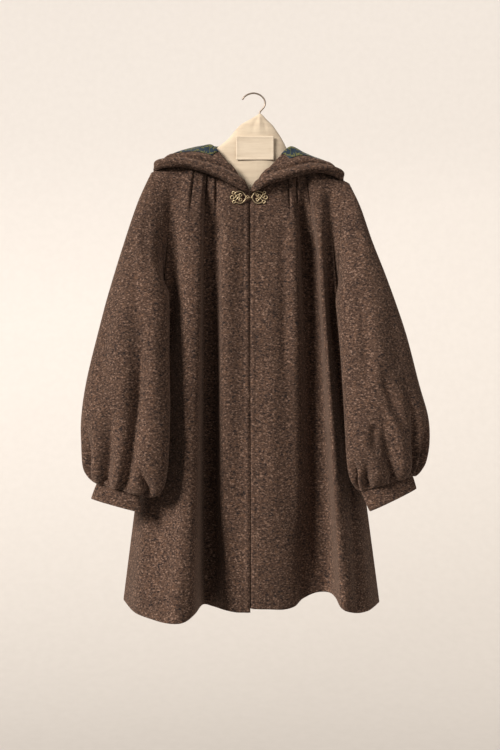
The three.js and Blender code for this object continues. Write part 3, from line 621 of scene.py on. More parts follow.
def armholeNormals(side, angles):
    a = np.radians(angles)
    out = side["out"] * (0.36 + 0.64 * (1 - np.cos(a)) * 0.5)
    return unit(np.stack([out, -np.sin(a), np.maximum(0, np.cos(a)) * 0.9], -1))


def foldLine(fold, side, facing, drops):
    # a drop runs from 0 at the top edge through 1 at the chest to 2 at the hem
    hem = np.array(fold["hem"], float)
    upper = np.minimum(drops, 1)
    below = np.maximum(drops - 1, 0)
    if fold["chest"] is None:
        edge = armholePoints(side, 180 * upper if facing < 0 else 360 - 180 * upper)
        return edge + (hem - edge) * below[:, None]
    (neckX, neckZ), (tipX, tipZ) = side["neck"], side["tip"]
    if isinstance(fold["top"], tuple):
        top = np.array(fold["top"], float)
        yoke = top[1]
    else:
        x = fold["top"]
        top = np.array([x, 0, neckZ + (tipZ - neckZ) * (x - neckX) / (tipX - neckX)])
        yoke = facing * bodyCloth["yokeDepth"]
    chest = np.array([*fold["chest"], chestHeight], float)
    fall = (hem[0] - chest[0]) * (chest[2] - top[2]) / (hem[2] - chest[2])
    turn = 1 - (1 - upper) ** bodyCloth["yokeTurn"]
    line = np.empty((len(drops), 3))
    line[:, 0] = top[0] + (2 * (chest[0] - top[0]) - fall) * upper + (fall - chest[0] + top[0]) * upper**2
    line[:, 1] = top[1] + (yoke - top[1]) * turn + (chest[1] - yoke) * smooth(upper)
    line[:, 2] = top[2] + (chest[2] - top[2]) * upper**1.2
    line[:, 0] += (hem[0] - chest[0]) * below
    line[:, 1] += (hem[1] - chest[1]) * below ** fold.get("swell", 1)
    line[:, 2] += (hem[2] - chest[2]) * below
    return line


panelDrops = np.concatenate([
    [0, 0.004, 0.012, 0.024, 0.04, 0.058, 0.08],
    np.linspace(0.105, 1, 40),
    np.linspace(1, 1.985, 92)[1:],
    [1.996, 2],
])
# columns beside a fold line, in fold widths
tuckColumns = (-0.20, -0.12, -0.07, -0.02, 0, 0.04, 0.10, 0.2, 0.3, 0.4, 0.5, 0.62, 0.74, 0.86)
plainColumns = tuple(k / 8 for k in range(8))
closest = 0.018


def panelColumns(folds):
    last = len(folds) - 1
    places = []
    for k, fold in enumerate(folds):
        places += [k + s for s in (tuckColumns if fold.get("tuck") else plainColumns)]
    places = [place for place in places if 0 <= place < last]
    places = sorted(set([round(place, 4) for place in places] + [0.05, last - 0.03, last]))
    kept = places[:1]
    for place in places[1:]:
        if place - kept[-1] > closest:
            kept.append(place)
    return np.array(kept)


def seamMask(rows, reach, edges):
    # 0 on the seams, 1 further than reach from them
    mask = np.ones(rows.shape[:2])
    for edge in edges:
        line = {"top": rows[:1], "start": rows[:, :1], "end": rows[:, -1:]}[edge]
        mask *= smooth(np.linalg.norm(rows - line, axis=2) / reach)
    return mask


def tuckRise(folds, columns, drops):
    # each tuck stands proud of the cloth on its outer side, and sinks back away from its edge
    shape = tuckShape
    rise = np.zeros((len(drops), len(columns)))
    sewn, opened = shape["end"]
    fade = 1 - smooth((drops - sewn) / (opened - sewn))
    slitDrop, slitLength = shape["slitDrop"]
    slitAway, slitWidth = shape["slitBeside"]
    for k, fold in enumerate(folds):
        if not fold.get("tuck"):
            continue
        away = columns - k
        sinking = bell(away * bodyCloth["foldWidth"], shape["fade"])
        profile = np.where(away >= 0, sinking, smooth((away + shape["lip"]) / shape["lip"]))
        profile[away < -shape["lip"]] = 0
        rise += shape["height"] * fade[:, None] * profile
        slit = bell(drops - slitDrop, slitLength)[:, None] * bell(away + slitAway, slitWidth)
        rise -= shape["slitDepth"] * slit
    return rise


def setTopEdge(rows, normals, columns, facing, sideOf):
    # along the shoulder seam a wall's end lies square to the seam, and halves of the seam stay clear
    for j, place in enumerate(columns):
        side = sideOf(place)
        run, rise = abs(side["tip"][0] - side["neck"][0]), side["neck"][1] - side["tip"][1]
        onShoulder = np.clip(1 - abs(rows[0, j, 1]) / bodyCloth["seamReach"], 0, 1)
        seam = np.array([side["out"] * rise, 0, run]) / math.hypot(run, rise)
        normals[0, j] = unit(np.array([0, facing, 0]) * (1 - onShoulder) + seam * onShoulder)
        if facing * rows[0, j, 1] < 0.5:
            rows[0, j, 1] = facing * seamGap / 2


def bodyPanel(name, node, folds, facing, sideOf, creases):
    columns = panelColumns(folds)
    last = len(folds) - 1
    lines = np.stack([foldLine(fold, sideOf(k), facing, panelDrops) for k, fold in enumerate(folds)])
    rows = splineAt(lines, columns).swapaxes(0, 1)
    turned = facing > 0 or sideOf(last)["out"] < 0
    normals = gridNormals(rows, turned)
    edges = ["top", "end"] if facing < 0 else ["top", "start", "end"]
    move = creaseDepth(rows, creases) * seamMask(rows, bodyCloth["creaseReach"], edges)
    if facing < 0:
        move += tuckRise(folds, columns, panelDrops) * seamMask(rows, tuckShape["reach"], ["top"])
    rows = rows + normals * move[..., None]
    normals = gridNormals(rows, turned)
    setTopEdge(rows, normals, columns, facing, sideOf)
    angle = np.minimum(180, 180 * panelDrops)
    own = np.where((panelDrops > 0) & (panelDrops < 1), bodyCloth["ownNormal"], 0)[:, None]
    for j, k in ([(-1, last)] if facing < 0 else [(0, 0), (-1, last)]):
        armhole = armholeNormals(sideOf(k), angle if facing < 0 else 360 - angle)
        normals[:, j] = unit(normals[:, j] * own + armhole)
        rows[panelDrops >= 1, j, 1] += facing * seamGap / 2
    soft = ["bottom"] + (["start"] if facing < 0 else [])
    piece = clothWall(name, rows, normals, bodyCloth["thickness"], wool, turned=turned, soft=soft)
    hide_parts(node)
    return piece, rows, normals, columns


def columnAt(rows, columns, place):
    return np.stack([[np.interp(place, columns, row[:, k]) for k in range(3)] for row in rows])


frontCut = {"right": {"flat": (0.45, 0.93), "area": 0.286}, "left": {"flat": (0.43, 0.92), "area": 0.266}}
for which in ("right", "left"):
    side, folds = sides[which], frontFolds[which]
    piece, rows, normals, columns = bodyPanel(
        "frontPanel_" + which, "front_" + which, folds, -1, lambda k: side, frontCreases[which]
    )
    sewn = panelDrops <= tuckShape["stitchEnd"]
    seams = [(slice(3, -3), 1.0)]  # along the front edge, then along each tuck
    seams += [(sewn, k + tuckShape["stitchIn"]) for k, fold in enumerate(folds) if fold.get("tuck")]
    stitches = stitchPiece("frontStitching_" + which, [
        stitchRow(columnAt(rows[part], columns, at), columnAt(normals[part], columns, at), **topstitch)
        for part, at in seams
    ])
    cut = frontCut[which]
    print("front", which, "hung")

middleFold = (len(backFolds) - 1) / 2
backPiece = bodyPanel(
    "backPanel", "back", backFolds, 1, lambda k: sides["right" if k < middleFold else "left"], backCreases
)[0]
print("back hung")


# Balloon sleeves, pleated into their cuffs

# outer and inner are the two ends of a section, front and back how far it stands out between them
sectionColumns = ("outer", "inner", "front", "back")
sleeveSections = {
    "right": named(sectionColumns, [
        ((-243, -4, -224), (-188.5, -23, -397), 36, 36),
        ((-268, -8, -301), (-178, -45, -421), 42, 36),
        ((-297, -14, -402), (-176, -64, -474), 46, 38),
        ((-322, -24, -499), (-175, -86, -552), 48, 38),
        ((-346, -36, -605), (-172, -102, -640), 50, 38),
        ((-355, -46, -680), (-172, -114, -706), 52, 38),
        ((-354, -54, -735), (-174, -120, -762), 52, 38),
        ((-351, -60, -778), (-179, -122, -802), 48, 34),
        ((-342, -66, -798), (-190, -120, -828), 38, 28),
        ((-329, -70, -810), (-212, -112, -837), 24, 20),
        ((-322, -74, -811), (-235, -100, -828), 15, 15),
    ]),
    "left": named(sectionColumns, [
        ((222, -4, -238), (172.5, -23, -411), 36, 36),
        ((246, -8, -312), (168, -45, -436), 42, 36),
        ((275, -14, -392), (172, -62, -486), 46, 38),
        ((310, -24, -499), (177, -82, -556), 48, 38),
        ((338, -34, -610), (181, -96, -640), 50, 38),
        ((356, -42, -676), (183, -106, -700), 52, 38),
        ((359, -50, -726), (185, -110, -748), 52, 38),
        ((353, -56, -765), (188, -110, -782), 48, 34),
        ((343, -62, -785), (194, -108, -804), 38, 28),
        ((331, -66, -797), (206, -100, -822), 24, 20),
        ((323, -70, -796), (216, -96, -826), 15, 15),
    ]),
}
# low is the angle round the sleeve at the cuff, high where the fold fades out, start the section it begins at
pleatColumns = ("low", "high", "start", "depth")
sleevePleats = {
    "right": named(pleatColumns, [
        (12, 44, 5.6, 17),
        (62, 84, 4.6, 19),
        (98, 122, 2.5, 20),
        (158, 118, 6.4, 15),
        (205, 212, 5, 15),
        (245, 242, 3.4, 17),
        (285, 276, 4.6, 16),
        (325, 318, 5.4, 15),
    ]),
    "left": named(pleatColumns, [
        (16, 32, 5.4, 17),
        (38, 62, 4.2, 22),
        (80, 110, 5.0, 20),
        (132, 136, 6.8, 12),
        (168, 160, 6.6, 13),
        (208, 214, 5, 15),
        (250, 246, 3.4, 17),
        (292, 284, 4.6, 16),
        (330, 324, 5.4, 15),
    ]),
}
sleeveCreases = {
    "right": [
        ([(-270, -420), (-272, -560), (-268, -700)], 22, 6),
        ([(-208, -420), (-212, -560), (-210, -700)], 20, 6),
        ([(-240, -360), (-240, -540), (-238, -700)], 16, -6),
        ([(-300, -440), (-312, -560), (-318, -690)], 16, -5),
        ([(-222, -240), (-226, -320), (-214, -400)], 12, -5),
        ([(-258, -300), (-250, -370), (-236, -430)], 12, -4),
    ],
    "left": [
        ([(248, -560), (284, -655), (316, -716), (308, -772)], 11, -10),
        ([(240, -676), (237, -730), (256, -756)], 8, -8),
        ([(230, -420), (250, -540), (262, -640)], 18, 5),
        ([(212, -380), (224, -500), (226, -640)], 13, -5),
        ([(206, -250), (212, -330), (204, -400)], 12, -5),
        ([(274, -430), (290, -520), (300, -600)], 14, -4),
    ],
}
# spreads are degrees where a pleat starts, and how much narrower it is at the cuff
pleatShape = {
    "deeper": 1.7,
    "wideSpread": (15, 8),
    "steepSpread": (11, 7),
    "sharpness": 1.5,
    "shallowAtCuff": 0.55,
    "room": 0.8,  # of the sleeve's half depth, the most that a pleat goes in
    "flatFrom": 10.1,
    "flatOver": 0.75,
}
cuffDrop = {
    "right": {"outer": (-12, 2, -31.5), "inner": (6, -3, -40)},
    "left": {"outer": (8, 2, -26.5), "inner": (17, -3, -40)},
}
cuffRoll = 0.7


def sectionPoints(section, angles):
    outer, inner = np.array(section["outer"], float), np.array(section["inner"], float)
    reach = (outer - inner) / 2
    across = reach / np.linalg.norm(reach)
    forward = unit(np.array([0, -1, 0]) + across * across[1])
    a = np.radians(angles)[:, None]
    depth = np.where(np.sin(a) > 0, section["front"], section["back"])
    return (outer + inner) / 2 + reach * np.cos(a) + forward * depth * np.sin(a)


def pleatDepth(pleats, angles, places, cuffPlace):
    shape = pleatShape
    depth = np.zeros((len(places), len(angles)))
    for pleat in pleats:
        down = np.clip((places - pleat["start"]) / (cuffPlace - pleat["start"]), 0, 1)[:, None]
        middle = pleat["high"] + (pleat["low"] - pleat["high"]) * smooth(down)
        away = (angles[None, :] - middle + 540) % 360 - 180
        wide, steep = (full - less * down for full, less in (shape["wideSpread"], shape["steepSpread"]))
        spread = np.where(away > 0, wide, steep)  # one lip is steeper than the other
        swell = smooth(down / 0.5) * (1 - shape["shallowAtCuff"] * down**5)
        fold = np.exp(-(np.abs(away / spread) ** shape["sharpness"]))
        depth += shape["deeper"] * pleat["depth"] * swell * fold
    return depth


def sleevePiece(which):
    side, sections = sides[which], sleeveSections[which]
    count = len(sections)
    angles = np.linspace(0, 360, 220, endpoint=False)
    places = np.concatenate([[0, 0.04, 0.1], np.linspace(0.2, count - 0.1, 130), [count - 0.03, count]])
    start = armholePoints(side, angles)
    start[:, 0] += side["out"] * 2 * seamGap
    rows = splineAt(np.stack([start] + [sectionPoints(section, angles) for section in sections]), places)
    turned = which == "left"
    plain = gridNormals(rows, turned, True)
    along = np.arange(1, count + 1)
    front, back = ([section[face] for section in sections] for face in ("front", "back"))
    room = np.where(
        np.sin(np.radians(angles)) > 0,
        np.interp(places, along, front)[:, None],
        np.interp(places, along, back)[:, None],
    ) * pleatShape["room"]
    move = -room * np.tanh(pleatDepth(sleevePleats[which], angles, places, count) / room)
    move *= 1 - smooth((places - pleatShape["flatFrom"]) / pleatShape["flatOver"])[:, None]
    seen = smooth((-plain[..., 1] + 0.1) / 0.4)
    ends = smooth((places - 0.05) / 1.2) * smooth((count - places) / 0.8)
    move += creaseDepth(rows, sleeveCreases[which]) * seen * ends[:, None]
    rows = rows + plain * move[..., None]
    normals = gridNormals(rows, turned, True)
    a = np.radians(angles)
    normals[0] = unit(np.stack([side["out"] * 0.3 * np.maximum(0, np.cos(a)), -np.sin(a), np.cos(a)], 1))
    name = "balloonSleeve_" + which
    piece = clothWall(name, rows, normals, bodyCloth["thickness"], wool, turned=turned, closed=True)
    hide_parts("sleeve_" + which)
    return piece


def cuffPiece(which):
    top, drop = sleeveSections[which][-1], cuffDrop[which]
    low = {end: np.array(top[end]) + drop[end] for end in ("outer", "inner")}
    low.update({face: top[face] + 1 for face in ("front", "back")})
    angles = np.linspace(0, 360, 120, endpoint=False)
    upper, lower = sectionPoints(top, angles), sectionPoints(low, angles)
    shares = np.concatenate([[0.02, 0.05, 0.1], np.linspace(0.18, 0.9, 10), [0.95, 0.985, 1]])
    rows = upper + (lower - upper) * shares[:, None, None]
    turned = which == "left"
    normals = gridNormals(rows, turned, True)
    rows = rows + normals * (cuffRoll * np.sin(math.pi * shares) ** 0.5)[:, None, None]
    piece = clothWall("cuffBand_" + which, rows, normals, bodyCloth["thickness"], wool,
                      turned=turned, closed=True, soft=["top", "bottom"])
    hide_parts("cuff_" + which)
    rounds = []
    for share in (0.14, 0.88):
        near = np.abs(shares - share).argmin()
        loop, loopNormals = (np.concatenate([grid[near], grid[near][:1]]) for grid in (rows, normals))
        rounds.append(stitchRow(loop, loopNormals, **cuffStitch))
    return piece, stitchPiece("cuffStitching_" + which, rounds)


sleeveCut = {"right": {"flat": (0.46, 0.62), "area": 0.213}, "left": {"flat": (0.44, 0.60), "area": 0.193}}
for which in ("right", "left"):
    cut = sleeveCut[which]
    sleeve = sleevePiece(which)
    band, bandStitches = cuffPiece(which)
    print("sleeve", which, "pleated")


# Hood, thrown back: each row is a section from the neck seam over the roll to the face edge

# lengths across the roll are in its widths from the face edge
hoodCloth = {
    "wool": 2.6,
    "lining": 1.0,
    "facingWidth": 38,
    "liningFrom": 0.3125,
    "roll": 6.5,
    "rollWidth": 21,
    "rollFullness": 0.8,
    "rollCrease": (0.5, 1.1, 0.15),  # depth, place and width of the crease behind it
    "edgeCurl": (0.7, 0.2),
    "rollEnds": (0.25, 0.15),  # shares of the hood over which it comes in and goes out
}
hoodLayers = ("neck", "stand", "middle", "turn", "edge")
hoodSections = {
    "right": [
        ((-14, -23.5, -211), (-15.3, -25.6, -209.6), (-16.6, -27.6, -209), (-17.9, -29.4, -209.4),
         (-19, -31, -210.5)),
        ((-28, -24.5, -190), (-29, -26, -185), (-32, -31, -187), (-36, -34, -193), (-40, -33, -199)),
        ((-60, -21.5, -152), (-62, -22, -143), (-68, -27, -147), (-76, -34, -161), (-83, -32, -178)),
        ((-82, -17.5, -132), (-87, -11, -114), (-103, -16, -122), (-122, -30, -140), (-138, -29, -160)),
        ((-96, 2, -117), (-97, 6, -109), (-130, -3, -119), (-160, -18, -134), (-178, -27, -156)),
        ((-86, 11, -118), (-94, 18, -109), (-140, 17, -122), (-182, 2, -138), (-209, -8, -158)),
        ((-66, 16, -122), (-78, 27, -113), (-134, 34, -186), (-178, 45, -186), (-206, 36, -156)),
        ((-36, 19, -127), (-44, 33, -118), (-88, 42, -320), (-132, 66, -262), (-140, 56, -152)),
        ((-7.2, 21, -129), (-7.2, 35, -120), (-7.2, 46, -392), (-7.2, 78, -330), (-7.2, 68, -156)),
    ],
    "left": [
        ((-6, -23.5, -211), (-4.8, -25.6, -209.8), (-3.6, -27.6, -209.4), (-2.3, -29.4, -209.8),
         (-1, -31, -211)),
        ((10, -24.5, -189), (11, -26, -184), (15, -31, -185), (22, -34, -190), (30, -33, -195)),
        ((40, -22, -158), (42, -23.5, -149), (50, -28, -153), (62, -35, -166), (74, -32, -182)),
        ((67, -18, -140), (72, -11, -117), (86, -16, -126), (105, -30, -147), (120, -29, -170)),
        ((81, 2, -126), (82, 6, -117), (112, -3, -132), (142, -18, -149), (160, -27, -172)),
        ((73, 11, -127), (80, 18, -115), (122, 17, -138), (162, 2, -156), (184, -8, -180)),
        ((53, 16, -128), (62, 27, -117), (112, 34, -196), (154, 45, -200), (181, 36, -177)),
        ((22, 19, -130), (29, 33, -121), (72, 42, -322), (112, 66, -266), (120, 56, -166)),
        ((-6.8, 21, -129), (-6.8, 35, -120), (-6.8, 46, -392), (-6.8, 78, -330), (-6.8, 68, -156)),
    ],
}


def hoodPoints(which, rounds, outs):
    # rounds from the centre front to the centre back, outs from the neck seam to the face edge, on one grid
    sections = np.array(hoodSections[which], float).swapaxes(0, 1)
    lines = np.stack([splineAt(layer, rounds * (len(layer) - 1)) for layer in sections])
    return splineAt(lines, outs * (len(hoodLayers) - 1))


def hoodBorder(which, rounds):
    # the share of the way out at which the facing starts
    shares = np.linspace(0, 1, 121)
    lines = hoodPoints(which, rounds, np.repeat(shares[:, None], len(rounds), 1))
    steps = np.linalg.norm(np.diff(lines[::-1], axis=0), axis=2)
    lengths = np.concatenate([np.zeros((1, len(rounds))), np.cumsum(steps, 0)])
    found = [np.interp(hoodCloth["facingWidth"], lengths[:, j], shares[::-1]) for j in range(len(rounds))]
    return np.maximum(0.12, found)


def rollRise(away):
    # how far the cloth stands out, at places counted in roll widths from the face edge
    depth, place, width = hoodCloth["rollCrease"]
    curl, curlWidth = hoodCloth["edgeCurl"]
    swell = np.sin(math.pi * np.clip(away, 0, 1)) ** hoodCloth["rollFullness"]
    return hoodCloth["roll"] * (swell - depth * bell(away - place, width) - curl * bell(away, curlWidth))


def hoodGrid(which, part, rounds):
    # part is "hood", "facing" or "lining"
    border = hoodBorder(which, rounds)
    inner = np.concatenate([[0, 0.012], np.linspace(0.04, 0.97, 34), [1.0]])
    outer = np.concatenate([[0.03], np.linspace(0.1, 0.93, 22), [0.975, 1]])
    above = border + (1 - border) * outer[:, None]
    outs = {
        "hood": np.concatenate([border * inner[:, None], above]),
        "facing": np.concatenate([border[None], above]),
        "lining": border * np.linspace(0.125, 0.93, 36)[:, None],
    }[part]
    rows = hoodPoints(which, rounds, outs)
    nudge = 0.004
    outward = [hoodPoints(which, rounds, np.clip(outs + step, 0, 1)) for step in (nudge, -nudge)]
    backward = [hoodPoints(which, np.clip(rounds + step, 0, 1), outs) for step in (nudge, -nudge)]
    normals = np.cross(outward[0] - outward[1], backward[0] - backward[1]) * (-1 if which == "right" else 1)
    normals[:, rounds == 1, 0] = 0
    normals = unit(normals)
    edge = hoodPoints(which, rounds, np.ones_like(outs))
    rise = rollRise(np.linalg.norm(rows - edge, axis=2) / hoodCloth["rollWidth"])
    frontEnd, backEnd = hoodCloth["rollEnds"]
    rise = rise * smooth(rounds / frontEnd) * smooth((1 - rounds) / backEnd)
    return rows + normals * rise[..., None], normals


# lift is the outer skin of each layer off the hood's form
layerLift = {
    "hood": hoodCloth["wool"],
    "facing": 2 * hoodCloth["wool"] + seamGap,
    "lining": hoodCloth["wool"] + seamGap + hoodCloth["lining"],
}
hoodParts = {
    "hood": {
        "name": "hoodShell_", "node": "hood_", "flat": (0.38, 0.30), "area": 0.073,
        "soft": ["bottom", "start"],
    },
    "facing": {
        "name": "hoodFacing_", "node": "hood_facing_", "flat": (0.44, 0.042), "area": 0.0165,
        "soft": ["top", "bottom", "start"],
    },
    "lining": {
        "name": "hoodLining_", "node": "hood_lining_", "flat": (0.30, 0.25), "area": 0.040, "soft": [],
    },
}


def hoodPiece(which, part):
    shape = hoodParts[part]
    rounds = np.concatenate([[0, 0.006], np.linspace(0.02, 0.985, 86), [1]])
    if part == "lining":
        rounds = np.linspace(hoodCloth["liningFrom"], 1, 64)
    rows, normals = hoodGrid(which, part, rounds)
    cloth = {"thickness": hoodCloth["wool"], "material": wool, "slot": "wool"}
    if part == "lining":
        cloth = {"thickness": hoodCloth["lining"], "material": liningPrint, "slot": "hood_lining"}
    piece = clothWall(shape["name"] + which, rows, normals, lift=layerLift[part], turned=which == "right",
                      soft=shape["soft"], **cloth)
    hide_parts(shape["node"] + which)
    return piece, rows, normals


for which in ("right", "left"):
    for part, cut in hoodParts.items():
        piece, rows, normals = hoodPiece(which, part)
        stitches = []
        if part == "facing":
            edge = rows[-6] + normals[-6] * layerLift["facing"]
            stitches = [stitchPiece("hoodStitching_" + which, [stitchRow(edge, normals[-6], **topstitch)])]
    print("hood", which, "laid back")


# Hanger: padded cover, blank patch and hook

hangerShape = {
    "round": 48,
    "steps": 220,
    "squareY": 0.7,  # under 1 makes its section squarer
    "squareZ": 0.9,
    "seam": 0.7,
    "seamWidth": 0.9,  # in steps round the cover
    "fill": 0.45,
}
patchShape = {
    "x": 1,
    "z": -115.5,
    "width": 79,
    "height": 50,
    "thick": 0.8,
    "proud": 0.4,
    "turnIn": 0.35,
    "turnRise": 0.8,  # from the patch's edge inwards: where the turned-in border has risen, and where it ends
    "turnEnd": (3.4, 1.2),
    "stitchIn": 2.2,
}
# along the cover from the wearer's right: x, upper edge, lower edge, half depth
coverProfile = np.array([
    (-208, -168, -190, 5), (-203, -163.5, -204, 6.5), (-160, -146, -204, 7), (-115, -128.5, -206, 7),
    (-97, -123, -210, 7), (-88, -124, -213, 6), (-80, -115, -216, 7), (-56, -95, -222, 9),
    (-31, -66.7, -226, 10.5), (-8, -53, -228, 11.5), (5, -45, -228, 12), (10.9, -41, -228, 12),
    (17, -45, -228, 12), (28, -56.6, -227, 11.5), (39, -67.5, -226, 10.5), (55.6, -92, -224, 8),
    (66, -112, -222, 4.6), (74, -129.5, -221, 5), (84, -134.5, -220, 7), (110, -145.2, -220, 7),
    (150, -166, -222, 7), (185, -184.8, -224, 6.5), (190, -190, -214, 5),
])
coverCreases = [
    ([(9, -46), (0, -62), (-8, -84)], 4, -1.2, (0, 0.5)),
    ([(12, -46), (20, -62), (26, -88)], 4, -1.0, (0, 0.5)),
    ([(11, -46), (10, -60), (11, -84)], 3.5, 0.8, (0, 0.6)),
    ([(-70, -112), (-40, -128), (-20, -150)], 8, -1.2),
    ([(-64, -134), (-30, -150), (6, -190)], 9, 1.0),
    ([(58, -112), (48, -140), (24, -180)], 9, -1.0),
]


def coverRows():
    count = len(coverProfile)
    places = np.linspace(0, count - 1, hangerShape["steps"])
    x, top, bottom = splineAt(coverProfile[:, :3], places).T
    depths = np.interp(places, np.arange(count), coverProfile[:, 3])
    a = np.linspace(0, 2 * math.pi, hangerShape["round"], endpoint=False)
    y = np.sign(np.sin(a)) * np.abs(np.sin(a)) ** hangerShape["squareY"]
    z = np.sign(np.cos(a)) * np.abs(np.cos(a)) ** hangerShape["squareZ"]
    height = (top + bottom)[:, None] / 2 + z * (top - bottom)[:, None] / 2
    return np.stack([np.repeat(x[:, None], len(a), 1), y * depths[:, None], height], 2)


def tubeFaces(high, wide, closed=False):
    # a closed tube joins its last ring to its first, and an open one has a cap at each end
    i, j = np.meshgrid(np.arange(high if closed else high - 1), np.arange(wide), indexing="ij")
    i, j = i.ravel(), j.ravel()
    after, nextRing = (j + 1) % wide, (i + 1) % high * wide
    faces = np.stack([i * wide + j, i * wide + after, nextRing + after, nextRing + j], 1).tolist()
    if not closed:
        faces += [list(range(wide))[::-1], list(range((high - 1) * wide, high * wide))]
    return faces


def coverPiece():
    rows = coverRows()
    inFront = smooth((-rows[..., 1] - 3) / 4)
    rows[..., 1] -= creaseDepth(rows, coverCreases) * inFront
    half = hangerShape["round"] // 2
    fromTop = (np.arange(hangerShape["round"]) + half) % hangerShape["round"] - half
    rows[..., 2] += hangerShape["seam"] * bell(fromTop, hangerShape["seamWidth"])
    faces = tubeFaces(*rows.shape[:2])
    piece = meshPiece("hangerCoverCloth", rows.reshape(-1, 3), faces, calico, "hanger_cloth")
    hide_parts("hanger_cover")


def patchPiece():
    # a turned-in border, sewn down all round
    shape = patchShape
    halfX, halfZ = shape["width"] / 2, shape["height"] / 2
    x, z = np.meshgrid(np.linspace(-halfX, halfX, 60), np.linspace(halfZ, -halfZ, 40))
    inset = np.minimum(halfX - np.abs(x), halfZ - np.abs(z))
    endAt, endOver = shape["turnEnd"]
    border = shape["turnIn"] * smooth(inset / shape["turnRise"]) * (1 - smooth((inset - endAt) / endOver))
    back = -max(coverProfile[:, 3]) - shape["proud"]
    rows = np.stack([x + shape["x"], back - border, z + shape["z"]], 2)
    forward = np.array([0, -1.0, 0])
    normals = np.broadcast_to(forward, rows.shape)
    piece = clothWall("blankPatch", rows, normals, shape["thick"], patchWeave, "patch_cloth",
                      lift=shape["thick"], soft=list(edgeRows))
    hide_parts("hanger_patch")
    inX, inZ = halfX - shape["stitchIn"], halfZ - shape["stitchIn"]
    front = back - shape["proud"] - shape["thick"]
    corners = [(-inX, inZ), (inX, inZ), (inX, -inZ), (-inX, -inZ), (-inX, inZ)]
    around = np.array([(shape["x"] + cornerX, front, shape["z"] + cornerZ) for cornerX, cornerZ in corners])
    path = np.concatenate([np.linspace(around[k], around[k + 1], 30)[:-1] for k in range(4)])
    row = stitchRow(path, np.broadcast_to(forward, path.shape), **patchStitch)
    stitches = stitchPiece("patchStitching", [row], patchWeave, "patch_cloth")


def tubeAlong(line, radius, around, closed=False):
    # a round wire along a line, with rounded ends where it is open
    line = np.asarray(line, float)
    radii = np.full(len(line), radius)
    if closed:
        tangents = unit(np.roll(line, -1, 0) - np.roll(line, 1, 0))
    else:
        tangents = unit(np.gradient(line, axis=0))
        cap = np.array([0.99, 0.86, 0.5])
        starts = line[0] - tangents[0] * radius * cap[:, None]
        ends = line[-1] + tangents[-1] * radius * cap[:, None]
        small = radius * np.sqrt(np.maximum(0.004, 1 - cap**2))
        line = np.concatenate([starts, line, ends[::-1]])
        tangents = np.concatenate([np.repeat(tangents[:1], 3, 0), tangents, np.repeat(tangents[-1:], 3, 0)])
        radii = np.concatenate([small, radii, small[::-1]])
    side = unit(np.cross(tangents, np.array([0, 1.0, 0])))
    up = np.cross(side, tangents)
    a = np.linspace(0, 2 * math.pi, around, endpoint=False)
    spokes = side[:, None] * np.cos(a)[None, :, None] + up[:, None] * np.sin(a)[None, :, None]
    rings = line[:, None] + radii[:, None, None] * spokes
    return rings.reshape(-1, 3), tubeFaces(len(line), around, closed)


# the hook's wire from its tip: x, z
hookLine = np.array([
    (-24.6, -10.4), (-20.5, -5), (-11.5, 0.2), (0, 1.75), (12, -2.4), (20.6, -11.5),
    (22, -22.5), (17, -31), (11.4, -37.5), (10.9, -43), (10.9, -52), (10.9, -62),
])
hookRadius = 1.75


def hookPiece():
    line = np.insert(hookLine, 1, 0, axis=1)
    path = splineAt(line, np.linspace(0, len(line) - 1, 110))
    piece = meshPiece("hookWire", *tubeAlong(path, hookRadius, 18), hookMetal, "hook_steel")
    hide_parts("hanger_hook")


coverPiece()
patchPiece()
hookPiece()
print("hanger ready")


# Clasp: two halves of knotted wire, hooked together over the centre front

# right and left are where the halves begin across, and lift is how far strands rise to cross each other
claspShape = {
    "radius": 1.1,
    "around": 12,
    "plane": -25.9,
    "right": -34,
    "left": 10.6,
    "z": -220.5,
    "lift": 0.55,
}
# loops are across, up and radius
claspLoops = [(-9.6, 9.4, 2.9), (-12.6, -0.2, 3.5), (-8.7, -9.2, 2.9), (4.7, 5, 2.7), (4.7, -5, 2.7)]
claspEye = {"x": 19.6, "radius": 3.2}
claspHook = {
    "line": [
        (15.4, 0, 0), (17.5, -0.4, -1), (20.5, -3.3, -1), (24, -3.6, -1), (25.4, -2, -1), (25.4, -0.2, -1),
    ],
    "radius": 0.95,
}
# strands in the plane of a half: towards the centre front, up
claspStrands = [
    [(-6.8, 8.4), (-3, 11), (2.4, 12.6), (9.4, 10.4), (14, 5), (16, 0), (14, -5), (9.4, -10.4), (3.6, -12.4),
     (-3, -11), (-6.8, -8)],
    [(-10, -3), (-5.4, 0.6), (-2.4, 4.6), (2.4, 6.6)],
    [(-6.8, 7.6), (-5, 3), (-1.6, -1.4), (2.4, -6.4)],
    [(-7, -6.8), (-4, -4.6), (0, 0.2), (4.4, 2.4)],
    [(-1.6, -1.4), (1.6, 0), (4.4, -2.4)],
]


